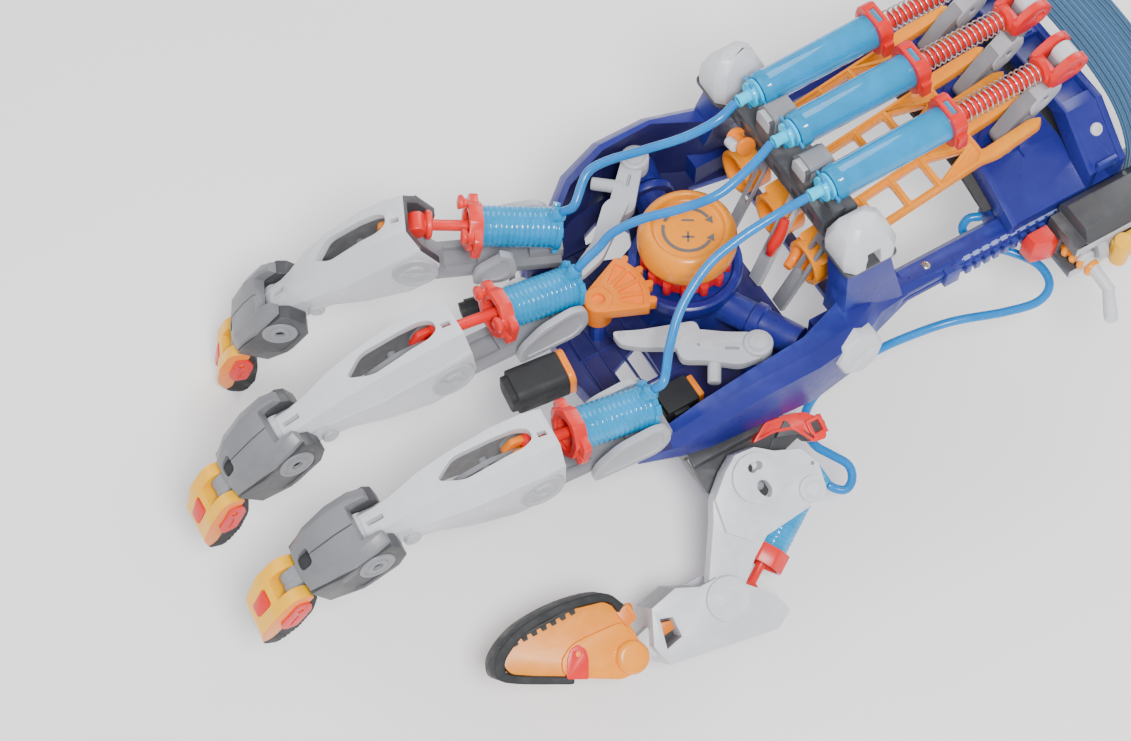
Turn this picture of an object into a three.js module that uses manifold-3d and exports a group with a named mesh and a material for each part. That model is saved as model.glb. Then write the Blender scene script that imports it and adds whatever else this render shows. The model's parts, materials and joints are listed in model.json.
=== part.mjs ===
// Wearable hydraulic robot hand: a right hand and forearm frame with three fingers and a thumb,
// each bent by water pushed from a master cylinder on the wrist through a clear blue tube.
// Millimetres. +Z is the back of the hand, -X points to the fingertips, -Y is the thumb side.
import * as THREE from "three";
import { mergeVertices } from "three/addons/utils/BufferGeometryUtils.js";
import Module from "manifold-3d";
const wasm = await Module();
wasm.setup();

// Driving dimensions
const RAIL_Y = 60; // rails run either side of the forearm
const RAIL_END = 188;
const RAIL_W = 14;
const MASTER_R = 8.5; // outside of a wrist cylinder
const MASTER_Y = [-30, 0, 29.5]; // near, middle and far wrist cylinders
const MASTER_Z = [69, 74, 70];
const MASTER_LEN = 61;
const SLAVE_R = 9.9; // outside of a finger cylinder
const SLAVE_LEN = 39;
const SLAVE_TILT = 12; // degrees, front end up
const TUBE_R = 2.2;
const KNOB_R = 23.5;
const KNOB = [-55, 2];
const L1 = 81; // knuckle to middle joint
const L2 = 38; // middle joint to end joint
const FINGERS = {
  // knuckle position, splay, absolute pitch of the three phalanges, start of the cylinder
  index: { k: [-176, -56, 14], splay: -4, pitch: [0, 25, 52], cyl: 24, petal: [[26, 66], [26, 66]], pivot: 58 },
  middle: { k: [-183, 13.5, 14], splay: -1.5, pitch: [5.5, 36, 61], cyl: 34, petal: [[34, 72], [30, 56]], pivot: 62 },
  ring: { k: [-164, 71, 14], splay: -24.4, pitch: [33, 55.5, 70], cyl: 31, petal: [[26, 48], [26, 66]], pivot: 58 },
};
const THUMB_O = [-80.2, -97.5, -30]; // centre of the thumb's swing pivot

const C = {
  frame: [0x27348f, 0.42, 0.05], white: [0xe3e4ea, 0.4, 0.02], grey: [0xa9adb6, 0.45, 0.05], dark: [0x3a3c42, 0.5, 0.05],
  black: [0x1c1d20, 0.6, 0.02], red: [0xe8392f, 0.4, 0.02], orange: [0xf2921c, 0.42, 0.02], yellow: [0xf9b233, 0.4, 0.02],
  clear: [0x35b5ea, 0.12, 0.0], tube: [0x1a9fe6, 0.25, 0.0], steel: [0xb9bcc2, 0.3, 0.9], strap: [0x2a5378, 0.85, 0.0],
};

// ---------- helpers ----------
const D2R = Math.PI / 180;
const V = (...a) => new THREE.Vector3(...a);
function M(geo) {
  let g = geo.index ? geo.toNonIndexed() : geo.clone();
  g = new THREE.BufferGeometry().setAttribute("position", g.getAttribute("position"));
  g = mergeVertices(g, 1e-4);
  const make = (tv) => new wasm.Manifold(new wasm.Mesh({ numProp: 3, vertProperties: new Float32Array(g.attributes.position.array), triVerts: tv }));
  let tv = new Uint32Array(g.index.array);
  let m = make(tv);
  if (m.volume() < 0) {
    tv = tv.slice();
    for (let i = 0; i < tv.length; i += 3) [tv[i + 1], tv[i + 2]] = [tv[i + 2], tv[i + 1]];
    m = make(tv);
  }
  return m;
}
function G(m) {
  const q = m.getMesh(), n = q.numProp, v = new Float32Array(q.numVert * 3);
  for (let i = 0; i < q.numVert; i++) v.set(q.vertProperties.subarray(i * n, i * n + 3), i * 3);
  return new THREE.BufferGeometry().setAttribute("position", new THREE.BufferAttribute(v, 3)).setIndex(new THREE.BufferAttribute(new Uint32Array(q.triVerts), 1));
}
const add = (...g) => G(g.map(M).reduce((a, b) => a.add(b)));
const cut = (a, ...g) => G(g.map(M).reduce((x, b) => x.subtract(b), M(a)));
const box = (x0, x1, y0, y1, z0, z1) => new THREE.BoxGeometry(x1 - x0, y1 - y0, z1 - z0).translate((x0 + x1) / 2, (y0 + y1) / 2, (z0 + z1) / 2);
function shape(pts, holes = []) {
  const s = new THREE.Shape(pts.map((p) => new THREE.Vector2(...p)));
  for (const h of holes) s.holes.push(new THREE.Path(h.map((p) => new THREE.Vector2(...p))));
  return s;
}
const ex = (s, d) => new THREE.ExtrudeGeometry(s, { depth: d, bevelEnabled: false, curveSegments: 1 });
const pierced = (f) => (pts, a, b, holes = []) => holes.length ? cut(f(pts, a, b), ...holes.map((h) => f(h, a - 1, b + 1))) : f(pts, a, b);
const prismZ = pierced((pts, z0, z1) => ex(shape(pts), z1 - z0).translate(0, 0, z0));
const prismY = pierced((pts, y0, y1) => ex(shape(pts), y1 - y0).rotateX(Math.PI / 2).translate(0, y1, 0));
const prismX = pierced((pts, x0, x1) => ex(shape(pts), x1 - x0).applyMatrix4(new THREE.Matrix4().makeBasis(V(0, 1, 0), V(0, 0, 1), V(1, 0, 0))).translate(x0, 0, 0));
const ring = (cx, cy, r, n = 12, a0 = 0) => Array.from({ length: n }, (_, i) => [cx + r * Math.cos(a0 + (2 * Math.PI * i) / n), cy + r * Math.sin(a0 + (2 * Math.PI * i) / n)]);
function rod(a, b, r1, r2 = r1, n = 14) {
  const A = V(...a), B = V(...b), L = A.distanceTo(B);
  const g = new THREE.CylinderGeometry(r2, r1, L, n);
  g.applyQuaternion(new THREE.Quaternion().setFromUnitVectors(V(0, 1, 0), B.clone().sub(A).normalize()));
  const c = A.clone().add(B).multiplyScalar(0.5);
  return g.translate(c.x, c.y, c.z);
}
function loft(rings) {
  const n = rings[0].length, pos = [], idx = [];
  rings.forEach((r) => r.forEach((p) => pos.push(...p)));
  for (let i = 0; i + 1 < rings.length; i++)
    for (let j = 0; j < n; j++) {
      const a = i * n + j, b = i * n + ((j + 1) % n), c = a + n, d = b + n;
      idx.push(a, b, d, a, d, c);
    }
  for (let j = 1; j + 1 < n; j++) {
    idx.push(0, j + 1, j);
    const o = (rings.length - 1) * n;
    idx.push(o, o + j, o + j + 1);
  }
  return new THREE.BufferGeometry().setAttribute("position", new THREE.BufferAttribute(new Float32Array(pos), 3)).setIndex(idx).toNonIndexed();
}
function sweep(pts, r, steps, n = 8) {
  const curve = new THREE.CatmullRomCurve3(pts.map((p) => V(...p)), false, "centripetal");
  return new THREE.ExtrudeGeometry(shape(ring(0, 0, r, n)), { steps, extrudePath: curve, bevelEnabled: false, curveSegments: 1 });
}
class Helix extends THREE.Curve {
  constructor(x0, x1, y, z, r, turns) { super(); Object.assign(this, { x0, x1, y, z, r, turns }); }
  getPoint(t, o = new THREE.Vector3()) {
    const a = 2 * Math.PI * this.turns * t;
    return o.set(this.x0 + (this.x1 - this.x0) * t, this.y + this.r * Math.cos(a), this.z + this.r * Math.sin(a));
  }
}
const at = (g, m) => g.clone().applyMatrix4(m);
const T = (x, y, z) => new THREE.Matrix4().makeTranslation(x, y, z);
const Ry = (d) => new THREE.Matrix4().makeRotationY(d * D2R);
const Rz = (d) => new THREE.Matrix4().makeRotationZ(d * D2R);
const root = new THREE.Group();
root.name = "hydraulic_hand";
function node(name, geo, col, m) {
  const g = m ? geo.clone().applyMatrix4(m) : geo;
  const mesh = new THREE.Mesh(g, new THREE.MeshStandardMaterial({ color: C[col][0], roughness: C[col][1], metalness: C[col][2] }));
  mesh.name = name;
  g.deleteAttribute("normal");
  g.deleteAttribute("uv");
  g.computeVertexNormals();
  root.add(mesh);
  return mesh;
}

// ---------- hand frame: near and far walls, floor, hub housing, towers and forearm rails ----------
// section of a wall: outer y, inner y, bottom, top, bevelled outer upper edge
function wall(sec, side) {
  return loft(sec.map(([x, yo, yi, zb, zt]) => {
    const o = side * yo, i = side * yi, b = Math.min(6, (zt - zb) * 0.3);
    return [[x, o, zb + b * 0.6], [x, o - side * b * 0.6, zb], [x, i, zb], [x, i, zt], [x, o - side * b, zt], [x, o, zt - b]];
  }));
}
const nearWall = wall([[26, 67, 53, -7, 7], [8, 70, 54, -16, 12], [-8, 79, 58, -22, 16], [-35, 82, 67, -25, 16], [-63, 80, 67, -25, 12], [-90, 78, 66, -25, 4], [-104, 75, 64, -25, -6], [-124, 69, 60, -22, -10]], -1);
const farWall = wall([[26, 67, 53, -7, 7], [8, 67, 52, -16, 14], [-10, 69, 55, -22, 20], [-35, 75, 66.6, -25, 22], [-62, 76, 66.6, -25, 20], [-82, 73, 63, -24, 10], [-94, 66, 56, -22, -2]], 1);
const floorOutline = [[8, -60], [-12, -68], [-60, -72], [-104, -68], [-124, -60], [-128, -20], [-126, 16], [-116, 44], [-100, 60], [-90, 63], [-60, 66], [-30, 66], [8, 58]];
const floor = prismZ(floorOutline, -26, -22, [
  [[2, -46], [-22, -50], [-22, 50], [2, 46]].reverse(),
  [[-90, -48], [-108, -40], [-108, -20], [-88, -12]].reverse(),
  ring(-72, 44, 12, 8).reverse(),
]);
const lip = prismZ([[-124, -60], [-128, -20], [-126, 16], [-116, 44], [-100, 60], [-95, 57], [-110, 40], [-120, 14], [-122, -20], [-118, -58]], -24, -14);
const posts = Object.values(FINGERS).map((f) => {
  const a = f.splay * D2R, x = f.k[0] + Math.cos(a) * f.pivot, y = f.k[1] + Math.sin(a) * f.pivot;
  return prismZ(ring(x, y, 8, 12), -24, -6.4);
});
// hub under the knob with two round limbs that reach the side walls
const hub = [
  cut(prismZ(ring(KNOB[0], KNOB[1], 27, 20), -24, 1), prismZ(ring(KNOB[0], KNOB[1], 5.4, 12), -30, 10)),
  rod([-52, -12, -10], [-29, -58, -8], 8, 8, 14),
  rod([-54, 16, -10], [-41, 66, -8], 8, 8, 14),
];
const towerN = loft([[5, -13, 22, -67, -52], [24, -11, 17, -65, -50], [43, -10, 13, -62, -45]].map(([z, x0, x1, y0, y1]) => [[x0, y0, z], [x1, y0, z], [x1, y1, z], [x0, y1, z]]));
const towerF = loft([[5, -13, 22, 52, 67], [24, -11, 18, 48, 64], [43, -10, 14, 43, 59]].map(([z, x0, x1, y0, y1]) => [[x0, y0, z], [x1, y0, z], [x1, y1, z], [x0, y1, z]]));
const hexRail = (y) => prismX([[y - 7, -4], [y - 4, -7], [y + 4, -7], [y + 7, -4], [y + 7, 4], [y + 4, 7], [y - 4, 7], [y - 7, 4]], 18, RAIL_END);
const teeth = Array.from({ length: 11 }, (_, i) => box(58 + i * 5.4, 61 + i * 5.4, -69.4, -66, -3, 3));
const bosses = [prismZ(ring(-51, -55, 5, 10), -24, -2.6), prismZ(ring(-48.5, 59, 5, 10), -25, 3.4)];
const sideCap = rod([-12, -76, 2], [-12, -83.5, 3.5], 10.5, 9.5, 16);
node("palm_frame", add(nearWall, farWall, floor, lip, ...posts, ...hub, towerN, towerF, hexRail(-RAIL_Y), hexRail(RAIL_Y), ...teeth, ...bosses, sideCap,
  box(-18, 8, 50, 60, -24, -8), box(-18, 8, -64, -50, -24, -8),
  prismZ(ring(-104, 1, 4, 10), -24, -4.4), box(-58, -48, -64, -54, -24, -8), box(46, 54, -69.4, -66, -5, 6), box(84, 93, -54, -43, -7, 5)), "frame");

// ---------- wrist ----------
node("crossbar", add(box(-9, 10, -56, 56, 43.4, 47), box(-9, 10, -38.5, 38.5, 46, 54),
  box(-8, 6, -21, -9, 53, 70), box(-8, 6, 9.2, 20.4, 53, 72), box(-3, 3, -38.4, -30, 53, 58)), "dark");
const capLoft = (s, y0, y1) => loft([[47.4, -13, 15, y0, y1, 0], [56, -14, 15, y0 + s * 0.5, y1, 0], [66, -11, 11, y0 + 4, y1 - 3, 0], [70, -7, 7, y0 + 8, y1 - 7, 0]].map(([z, x0, x1, a, b]) => {
  const c = 4;
  return [[x0 + c, a, z], [x1 - c, a, z], [x1, a + c, z], [x1, b - c, z], [x1 - c, b, z], [x0 + c, b, z], [x0, b - c, z], [x0, a + c, z]];
}));
node("wrist_cap_near", cut(capLoft(1, -66, -42.5), box(-3, 4, -70, -60, 40, 58)), "white");
node("wrist_cap_far", capLoft(1, 42.5, 64), "white");

// ---------- forearm: saddle, pad and strap ----------
const arch = (y, z, yi, zi) => [[-y, 7.4], [-y, z * 0.55], [-y * 0.62, z], [y * 0.62, z], [y, z * 0.55], [y, 7.4], [yi, 7.4], [yi, zi * 0.55], [yi * 0.62, zi], [-yi * 0.62, zi], [-yi, zi * 0.55], [-yi, 7.4]];
const ears = [];
for (const y of MASTER_Y) for (const s of [-1, 1]) {
  const a = y + s * 4.4, b = y + s * 7.2;
  ears.push(prismY([[91, 20], [109, 20], [106, 31], [103, 34.6], [97, 34.6], [94, 31]], Math.min(a, b), Math.max(a, b), [ring(100, 29, 2.7, 8)]));
}
node("saddle", cut(add(prismX(arch(66, 25, 52, 17), 84, 128), prismX(arch(66, 44, 53, 36), 127, 148), ...ears),
  box(132, 142, -70, -60, 12, 22), ...MASTER_Y.map((y) => box(126, 150, y - 5, y + 5, 40, 50))), "frame");
node("arm_pad", prismX([[-51, 7.4], [-51, 9], [-31.4, 16.4], [31.4, 16.4], [51, 9], [51, 7.4], [45, 6], [44, 7], [28, 11], [-28, 11], [-44, 7], [-45, 6]], 80, 146), "black");
node("arm_strap", prismX([[-67, 7.4], [-66, 26], [-44, 46], [0, 52], [44, 46], [66, 26], [67, 7.4], [64.6, 7.4], [63.6, 25], [42.8, 44], [0, 49.6], [-42.8, 44], [-63.6, 25], [-64.6, 7.4]], 150, 182), "strap");

// ---------- wrist masters ----------
const NAMES = ["index", "middle", "ring"];
MASTER_Y.forEach((y, i) => {
  const z = MASTER_Z[i], n = NAMES[i];
  const lift = 0.055; // the rods rise slightly to the levers
  const R = (x) => [x, y, z + (x - 2) * lift];
  const body = cut(
    add(rod(R(-2), R(MASTER_LEN - 2), MASTER_R, MASTER_R, 14), rod(R(-5), R(-1.5), 6.2, 6.2, 8), rod(R(-13), R(-4), 2.6, 3, 6),
      at(box(59, 66, -10.5, 10.5, -10.5, 10.5), T(0, y, z + 3.3))),
    rod(R(4), R(70), 6.9, 6.9, 12));
  node("master_cylinder_" + n, body, "clear");
  node("master_rod_" + n, cut(add(rod(R(22), R(27), 6.2, 6.2, 10), rod(R(26), R(120), 3, 3, 8), rod(R(113), R(116), 6.6, 6.6, 8),
    at(box(115, 134, -8.6, 8.6, -6, 6), T(0, y, z + 7)), rod([128, y - 9.5, z + 7], [128, y + 9.5, z + 7], 3.4, 3.4, 8)),
    at(box(119, 140, -4.6, 4.6, -12, 12), T(0, y, z + 7))), "red");
  const h = new Helix(68.5, 111.5, y, z + 88 * lift, 5.1, 9);
  node("spring_" + n, new THREE.ExtrudeGeometry(shape(ring(0, 0, 0.7, 3)), { steps: 63, extrudePath: h, bevelEnabled: false, curveSegments: 1 }), "steel");
  // lever: pivots in the saddle ears, its slotted top straddles nothing and runs inside the clevis
  const zt = z + 7;
  node("lever_" + n, cut(add(prismY([[98, 26], [102, 26], [118, 44], [133, zt - 4], [133, zt + 6], [127, zt + 9], [121, zt + 3], [120, 61], [106, 50], [95, 34]], y - 3.8, y + 3.8),
    rod([100, y - 7.6, 29], [100, y + 7.6, 29], 2.2, 2.2, 8)), prismY([[106, 42], [110, 41], [120, 54], [117, 56]], y - 6, y + 6)), "grey");
  // pull bar: a ladder of two edges and cross ribs, forked at the lever
  const bz = (x) => 16 + (x - 8) * 0.24 + (i === 1 ? 1 : 0);
  const frame = prismZ([[-6, -10], [84, -10], [92, -12], [116, -11], [119, -8], [114, -5.6], [88, -5.6], [88, 5.6], [114, 5.6], [119, 8], [116, 11], [92, 12], [84, 10], [-6, 10]], 0, 5,
    [[[12, -7], [26, -7], [26, 7], [12, 7]], [[29.5, -7], [43, -7], [43, 7], [29.5, 7]], [[46.5, -7], [60, -7], [60, 7], [46.5, 7]], [[63.5, -6], [80, 0], [63.5, 6]]].map((h2) => h2.slice().reverse()));
  const bar = at(frame, new THREE.Matrix4().multiplyMatrices(T(0, y, bz(0)), Ry(-13.5)));
  const loop = cut(rod([-10, y, 8], [4, y, 8], 11.5, 11.5, 14), rod([-12, y, 8], [6, y, 8], 9, 9, 14));
  node("pull_bar_" + n, add(cut(bar, box(80, 140, y - 5.2, y + 5.2, 0, 100)), loop), "orange");
});

// ---------- knob and linkage on the back of the hand ----------
const knob = add(
  cut(prismZ(ring(...KNOB, KNOB_R, 24), 17, 33), prismZ(ring(...KNOB, 16.5, 16), 30.6, 40)),
  prismZ(ring(...KNOB, 21, 16), 32, 34.4),
);
const knobBody = cut(knob, prismZ(ring(...KNOB, 17.5, 16), 31, 40));
const gearTeeth = Array.from({ length: 12 }, (_, i) => at(box(18.5, 22, -2, 2, 4, 12), new THREE.Matrix4().multiplyMatrices(T(KNOB[0], KNOB[1], 0), Rz(i * 30 + 6))));
node("knob", add(knobBody, prismZ(ring(...KNOB, 19, 12), 4, 12), ...gearTeeth, prismZ(ring(...KNOB, 8, 8), 11, 18), prismZ(ring(...KNOB, 4.8, 10), -20, 5)), "yellow");
const SECT = [-104, 1];
const secPts = [];
for (let i = 0; i <= 8; i++) { const a = (-40 + i * 10) * D2R; secPts.push([SECT[0] + 25 * Math.cos(a), SECT[1] + 25 * Math.sin(a)]); }
const sector = cut(add(prismZ([[SECT[0] - 6, SECT[1] - 5], ...secPts, [SECT[0] - 6, SECT[1] + 5]], 4.5, 11),
  ...Array.from({ length: 4 }, (_, i) => at(box(24, 27.6, -1.4, 1.4, 4.5, 11), new THREE.Matrix4().multiplyMatrices(T(SECT[0], SECT[1], 0), Rz(-30 + i * 20)))),
  prismZ(ring(...SECT, 7, 12), -4, 12)), prismZ(ring(SECT[0] + 13, SECT[1], 4, 8), 0, 20));
node("gear_sector", sector, "orange");
const arm = (pts, boss, r, z0, z1) => add(prismZ(pts, z0, z1), prismZ(ring(...boss, r, 14), z0 - 3, z1 + 2));
node("crank_near", add(arm([[-52, -62], [-48, -50], [-60, -42], [-72, -33], [-84, -34], [-86, -44], [-76, -50], [-64, -60]], [-51, -55], 7, 1, 6),
  prismZ([[-70, -30], [-72, -40], [-84, -36], [-98, -28], [-106, -22], [-106, -14], [-94, -20]], 1, 6), rod([-72, -50, 3], [-78, -60, 1], 3.2, 3.2, 10)), "grey");
node("crank_far", add(arm([[-43, 58], [-51, 65], [-62, 54], [-72, 44], [-74, 34], [-64, 34], [-54, 46]], [-48.5, 59], 7, 7, 12),
  prismZ([[-64, 38], [-70, 44], [-76, 43], [-92, 27], [-106, 20], [-106, 13], [-92, 17]], 11.4, 15.4), rod([-62, 50, 9.5], [-73, 59, 9.5], 3.2, 3.2, 8)), "grey");

// ---------- fingers ----------
for (const [n, f] of Object.entries(FINGERS)) {
  const F = new THREE.Matrix4().multiplyMatrices(T(...f.k), Rz(f.splay));
  const P = F.clone().multiply(Ry(-f.pitch[0]));
  const Q = P.clone().multiply(T(-L1, 0, 0)).multiply(Ry(-(f.pitch[1] - f.pitch[0])));
  const E = Q.clone().multiply(T(-L2, 0, 0)).multiply(Ry(-(f.pitch[2] - f.pitch[1])));
  const b = -6 - f.k[2]; // underside of the cradle
  const x0 = f.cyl;
  const petal = (s, [a, c]) => prismY([[a, b + 1], [c - 6, b + 1], [c, b + 8], [c - 1, b + 21], [c - 8, b + 25], [a + 14, b + 22], [a + 2, b + 12]], s < 0 ? -15 : 12, s < 0 ? -12 : 15);
  node("cradle_" + n, add(box(8, 70, -9, 9, b, b + 4.4), box(x0 + 16, f.petal[0][1] - 4, -14, 0, b, b + 4), box(x0 + 12, f.petal[1][1] - 4, 0, 14, b, b + 4),
    petal(-1, f.petal[0]), petal(1, f.petal[1]), prismY([[-6, -5], [6, -5], [16, b + 3], [16, b], [6, b], [-7, -4]], -6.5, 6.5),
    rod([0, -6.5, 0], [0, 6.5, 0], 6.6, 6.6, 10), box(x0 + 24, x0 + 40, -5, 5, b + 3, -10.6)), "grey", F);
  // finger cylinder on a tilted axis; its front end is higher
  const t = SLAVE_TILT * D2R, zf = 9.2;
  const S = F.clone().multiply(T(x0, 0, zf)).multiply(Ry(SLAVE_TILT));
  node("finger_cylinder_" + n, cut(add(rod([0, 0, 0], [SLAVE_LEN, 0, 0], SLAVE_R, SLAVE_R, 14), rod([SLAVE_LEN - 3, 0, 0], [SLAVE_LEN, 0, 0], 10.8, 10.8, 14),
    rod([SLAVE_LEN - 6, 0, 6], [SLAVE_LEN - 1, 0, 13], 3.4, 3, 6), box(-6, 1, -15, 15, -11, 11), rod([-9.5, -9.5, 5], [-5, -9.5, 5], 4, 4, 6), rod([-9.5, 9.5, 5], [-5, 9.5, 5], 4, 4, 6)),
    rod([-12, 0, 0], [SLAVE_LEN - 6, 0, 0], 7.8, 7.8, 12)), "clear", S);
  const ext = x0 - 4; // from the cylinder mouth forward to the head inside the knuckle
  node("finger_rod_" + n, add(rod([2, 0, 0], [7, 0, 0], 7.0, 7.0, 10), rod([-ext, 0, 0], [3, 0, 0], 2.6, 2.6, 6), rod([-ext - 2, -5, 0], [-ext - 2, 5, 0], 4.4, 4.4, 8)), "red", S);
  // first phalanx shell
  const sec = (x, w, zb, zs, wt, zt) => [[x, -w, zb], [x, w, zb], [x, w, zs], [x, wt, zt], [x, -wt, zt], [x, -w, zs]];
  const shell = loft([sec(12, 15, -3, 12, 10, 23), sec(3, 16, -12, 13, 10.5, 25), sec(-12, 16, -13, 13, 10.5, 25), sec(-34, 15, -7, 11, 9.5, 22), sec(-50, 12, -3, 9, 8, 18), sec(-64, 9, -6, 6, 6, 12), sec(-72, 8.2, -8, 5, 5.5, 9), sec(-80, 8.2, -6, 5, 5.5, 7.5)]);
  const cavity = loft([sec(14, 11.5, -30, 11, 7.5, 20), sec(-14, 11.5, -30, 10, 7.5, 21), sec(-34, 11, -30, 8, 7, 18), sec(-48, 8, -30, 5, 5, 13)]);
  const slot = prismZ([[-3, -4.5], [1, -2], [1, 2], [-3, 4.5], [-34, 6], [-43, 0], [-34, -6]], 10, 30);
  node("proximal_" + n, add(cut(shell, cavity, slot, box(5, 9, -3, -1.2, 18, 30), box(-78, -70, -1.2, 1.2, 0, 12)), rod([0, -17.6, 0], [0, -12, 0], 11, 11, 12), rod([0, 12, 0], [0, 17.6, 0], 11, 11, 12),
    rod([-81, -8.2, 0], [-81, 8.2, 0], 6.6, 6.6, 10), rod([-61, -10.6, -4], [-61, 10.6, -4], 3.8, 3.8, 8)), "white", P);
  // second phalanx
  const mid = prismY([[14, 2], [12, -8], [5, -13], [-10, -13], [-30, -10], [-31, 9], [-20, 14.5], [-4, 15], [8, 12]], -16.5, 16.5);
  node("phalanx_" + n, add(cut(mid, box(-15.5, 30, -9, 9, -30, 30), prismZ([[-22, -4], [-28, -4], [-28, 4], [-22, 4]], 0, 30), loft([[[-40, -11, -30], [-40, -30, -30], [-40, -30, 30], [-40, -11, 30]], [[-14, -16.6, -30], [-14, -30, -30], [-14, -30, 30], [-14, -16.6, 30]]]), loft([[[-40, 11, 30], [-40, 30, 30], [-40, 30, -30], [-40, 11, -30]], [[-14, 16.6, 30], [-14, 30, 30], [-14, 30, -30], [-14, 16.6, -30]]])),
    box(-38, -29, -4.6, 4.6, -4, 4.6), rod([-38, -4.6, 0], [-38, 4.6, 0], 5, 5, 12)), "dark", Q);
  // fingertip
  const tip = prismY([[5.4, 0], [4, 5], [0, 7.6], [-12, 9], [-28, 6], [-37, -1], [-36, -9], [-22, -12], [-6, -9], [4, -4]], -11.5, 11.5);
  node("fingertip_" + n, cut(tip, box(-6, 20, -5.2, 5.2, -30, 30), loft([[[-40, -8.5, -30], [-40, -30, -30], [-40, -30, 30], [-40, -8.5, 30]], [[-10, -11.6, -30], [-10, -30, -30], [-10, -30, 30], [-10, -11.6, 30]]])), "yellow", E);
}
// spacers between the fingers
node("spacer_near", add(at(box(-16, 16, -9.5, 9.5, -7, 10), new THREE.Matrix4().multiplyMatrices(T(-148, -18, 0), Rz(-6))), box(-146, -129, -20, -10, -20, -6)), "black");
node("spacer_far", add(at(box(-13, 13, -5.5, 5.5, -14, -6.6), new THREE.Matrix4().multiplyMatrices(T(-144, 37, 0), Rz(-12))), box(-134, -123.5, 28, 34, -18, -12), box(-140, -132, 29, 36, -18, -11)), "black");

// ---------- thumb: flat chain in a tilted plane ----------
const TM = new THREE.Matrix4().makeBasis(V(1, 0, 0), V(0, 0.866025, 0.5), V(0, -0.5, 0.866025)).setPosition(...THUMB_O);
node("thumb_bracket", add(at(prismZ([[-21, 20], [-14, 26], [18, 20], [35, 13], [35, 5], [20, 1], [8, -9], [-4, -10], [-14, -6], [-19, 2]], -15.5, -9.4), TM), box(-100, -52, -80, -66, -40, -26.6),
  at(prismZ([[22, 10], [30, 16], [38, 14], [46, 6], [43, 1], [36, 1], [33, 6]], -15.5, -5), TM), at(rod([0, 0, -16], [0, 0, -6], 4.4, 4.4, 12), TM)), "dark");
node("thumb_metacarpal", cut(add(at(prismZ([[-12, 9], [-4, 14], [6, 13], [14, 7], [26, 2], [31, -8], [29, -20], [18, -24], [-5, -26], [-16, -33], [-34, -49], [-45, -44], [-42, -34], [-27, -10], [-22, 0]], -3.4, 4.6), TM),
  at(prismZ([[-12, 9], [-4, 14], [6, 13], [14, 7], [26, 2], [31, -8], [29, -20], [18, -24], [-5, -26], [-14, -26], [-24, -16], [-22, 0]], 4, 8), TM), at(prismZ(ring(0, 0, 12, 20), 7, 11), TM),
  at(prismZ(ring(22, -17, 6.5, 14), 7, 11), TM), at(prismZ(ring(-38, -43, 6.5, 14), -3.4, 3.4), TM)), at(prismZ(ring(0, 0, 4.9, 12), -8, -1), TM), at(prismZ(ring(3, 5, 2.2, 10), 2, 20), TM)), "white");
const TA = V(30, -14, -13.2), TB = V(-6, -38, -13.2);
const td = TB.clone().sub(TA).normalize();
const on = (s) => TA.clone().addScaledVector(td, s).toArray();
const TL = TA.distanceTo(TB);
node("thumb_cylinder", at(cut(add(rod(on(0), on(TL), 8.6, 8.6, 16), rod(on(-3), on(0.5), 9.4, 9.4, 14), rod(on(TL - 1), on(TL + 5), 10.4, 10.4, 8), rod(on(-7), on(-2), 3, 3.4, 10), rod(on(-6), [37, -22, -13.2], 2.8, 2.8, 8)), rod(on(8), on(TL + 8), 6.8, 6.8, 14)), TM), "clear");
node("thumb_rod", at(add(rod(on(TL - 6), on(TL - 1), 6.2, 6.2, 12), rod(on(TL - 3), on(TL + 17), 2.2, 2.2, 10), rod([on(TL + 18)[0], on(TL + 18)[1], -15.4], [on(TL + 18)[0], on(TL + 18)[1], -9.6], 3.6, 3.6, 10)), TM), "red");
const prox = cut(
  add(at(prismZ([[-47, -32], [-38, -32], [-28, -40], [-16, -52], [-13, -62], [-22, -67], [-76, -57], [-79, -46], [-72, -30], [-58, -27]], -17.6, 8), TM), at(prismZ(ring(-38, -43, 10.5, 16), 7, 11), TM)),
  at(prismZ([[-62, -38], [-34, -25], [0, -30], [6, -60], [-20, -72], [-26, -60], [-62, -52]], -15.6, 4.9), TM),
  at(prismZ([[-71, -36], [-65, -38], [-65, -48], [-74, -50]], -30, 20), TM));
node("thumb_proximal", add(prox, at(prismZ([[-76, -52], [-76, -38], [-88, -41], [-90, -50]], -6.4, 0), TM), at(prismZ(ring(-90, -45.5, 5.6, 12), -6.4, 0), TM)), "white");
node("thumb_tip", cut(add(at(prismZ([[-84, -24], [-89, -14], [-108, -9], [-129, -9], [-143, -14], [-149, -20], [-147, -27], [-123, -39], [-98, -53], [-90, -53.5], [-84, -50], [-82.4, -45]], -12.5, 6), TM), at(prismZ(ring(-90, -45.5, 7.6, 16), 5, 9.5), TM)),
  at(prismZ([[-70, -60], [-70, -30], [-98, -34], [-98, -60]], -7, 0.6), TM)), "yellow");

// ---------- thumb master unit on the near rail ----------
node("thumb_unit", cut(add(box(104, 166, -92, -69.8, -14, 12), prismX([[-92, 11], [-88, 20], [-73, 20], [-68, 15], [-68, 11]], 110, 160),
  prismX([[-92, -13], [-69.8, -13], [-69.8, -7.7], [-53.4, -7.7], [-53.4, -10], [-68, -14.5], [-88, -16]], 110, 160)), box(100, 122, -100, -80, -8, 5), box(124, 170, -100, -84, -4, 6)), "dark");
node("thumb_latch", prismZ([[88, -71], [88, -79], [99, -82], [103.6, -80], [103.6, -71]], -5, 9), "red");
node("thumb_trigger", add(prismZ([[124, -92.6], [166, -92.6], [176, -104], [172, -112], [160, -104], [124, -100]], -3, 5), rod([128, -97.4, -8], [128, -97.4, 9], 4.6, 4.6, 10)), "yellow");
node("thumb_pin_lever", add(rod([112, -90, -2], [112, -112, -4], 3, 3, 10), rod([112, -110, -4], [104, -124, -6], 2.6, 3.4, 10)), "white");

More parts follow.
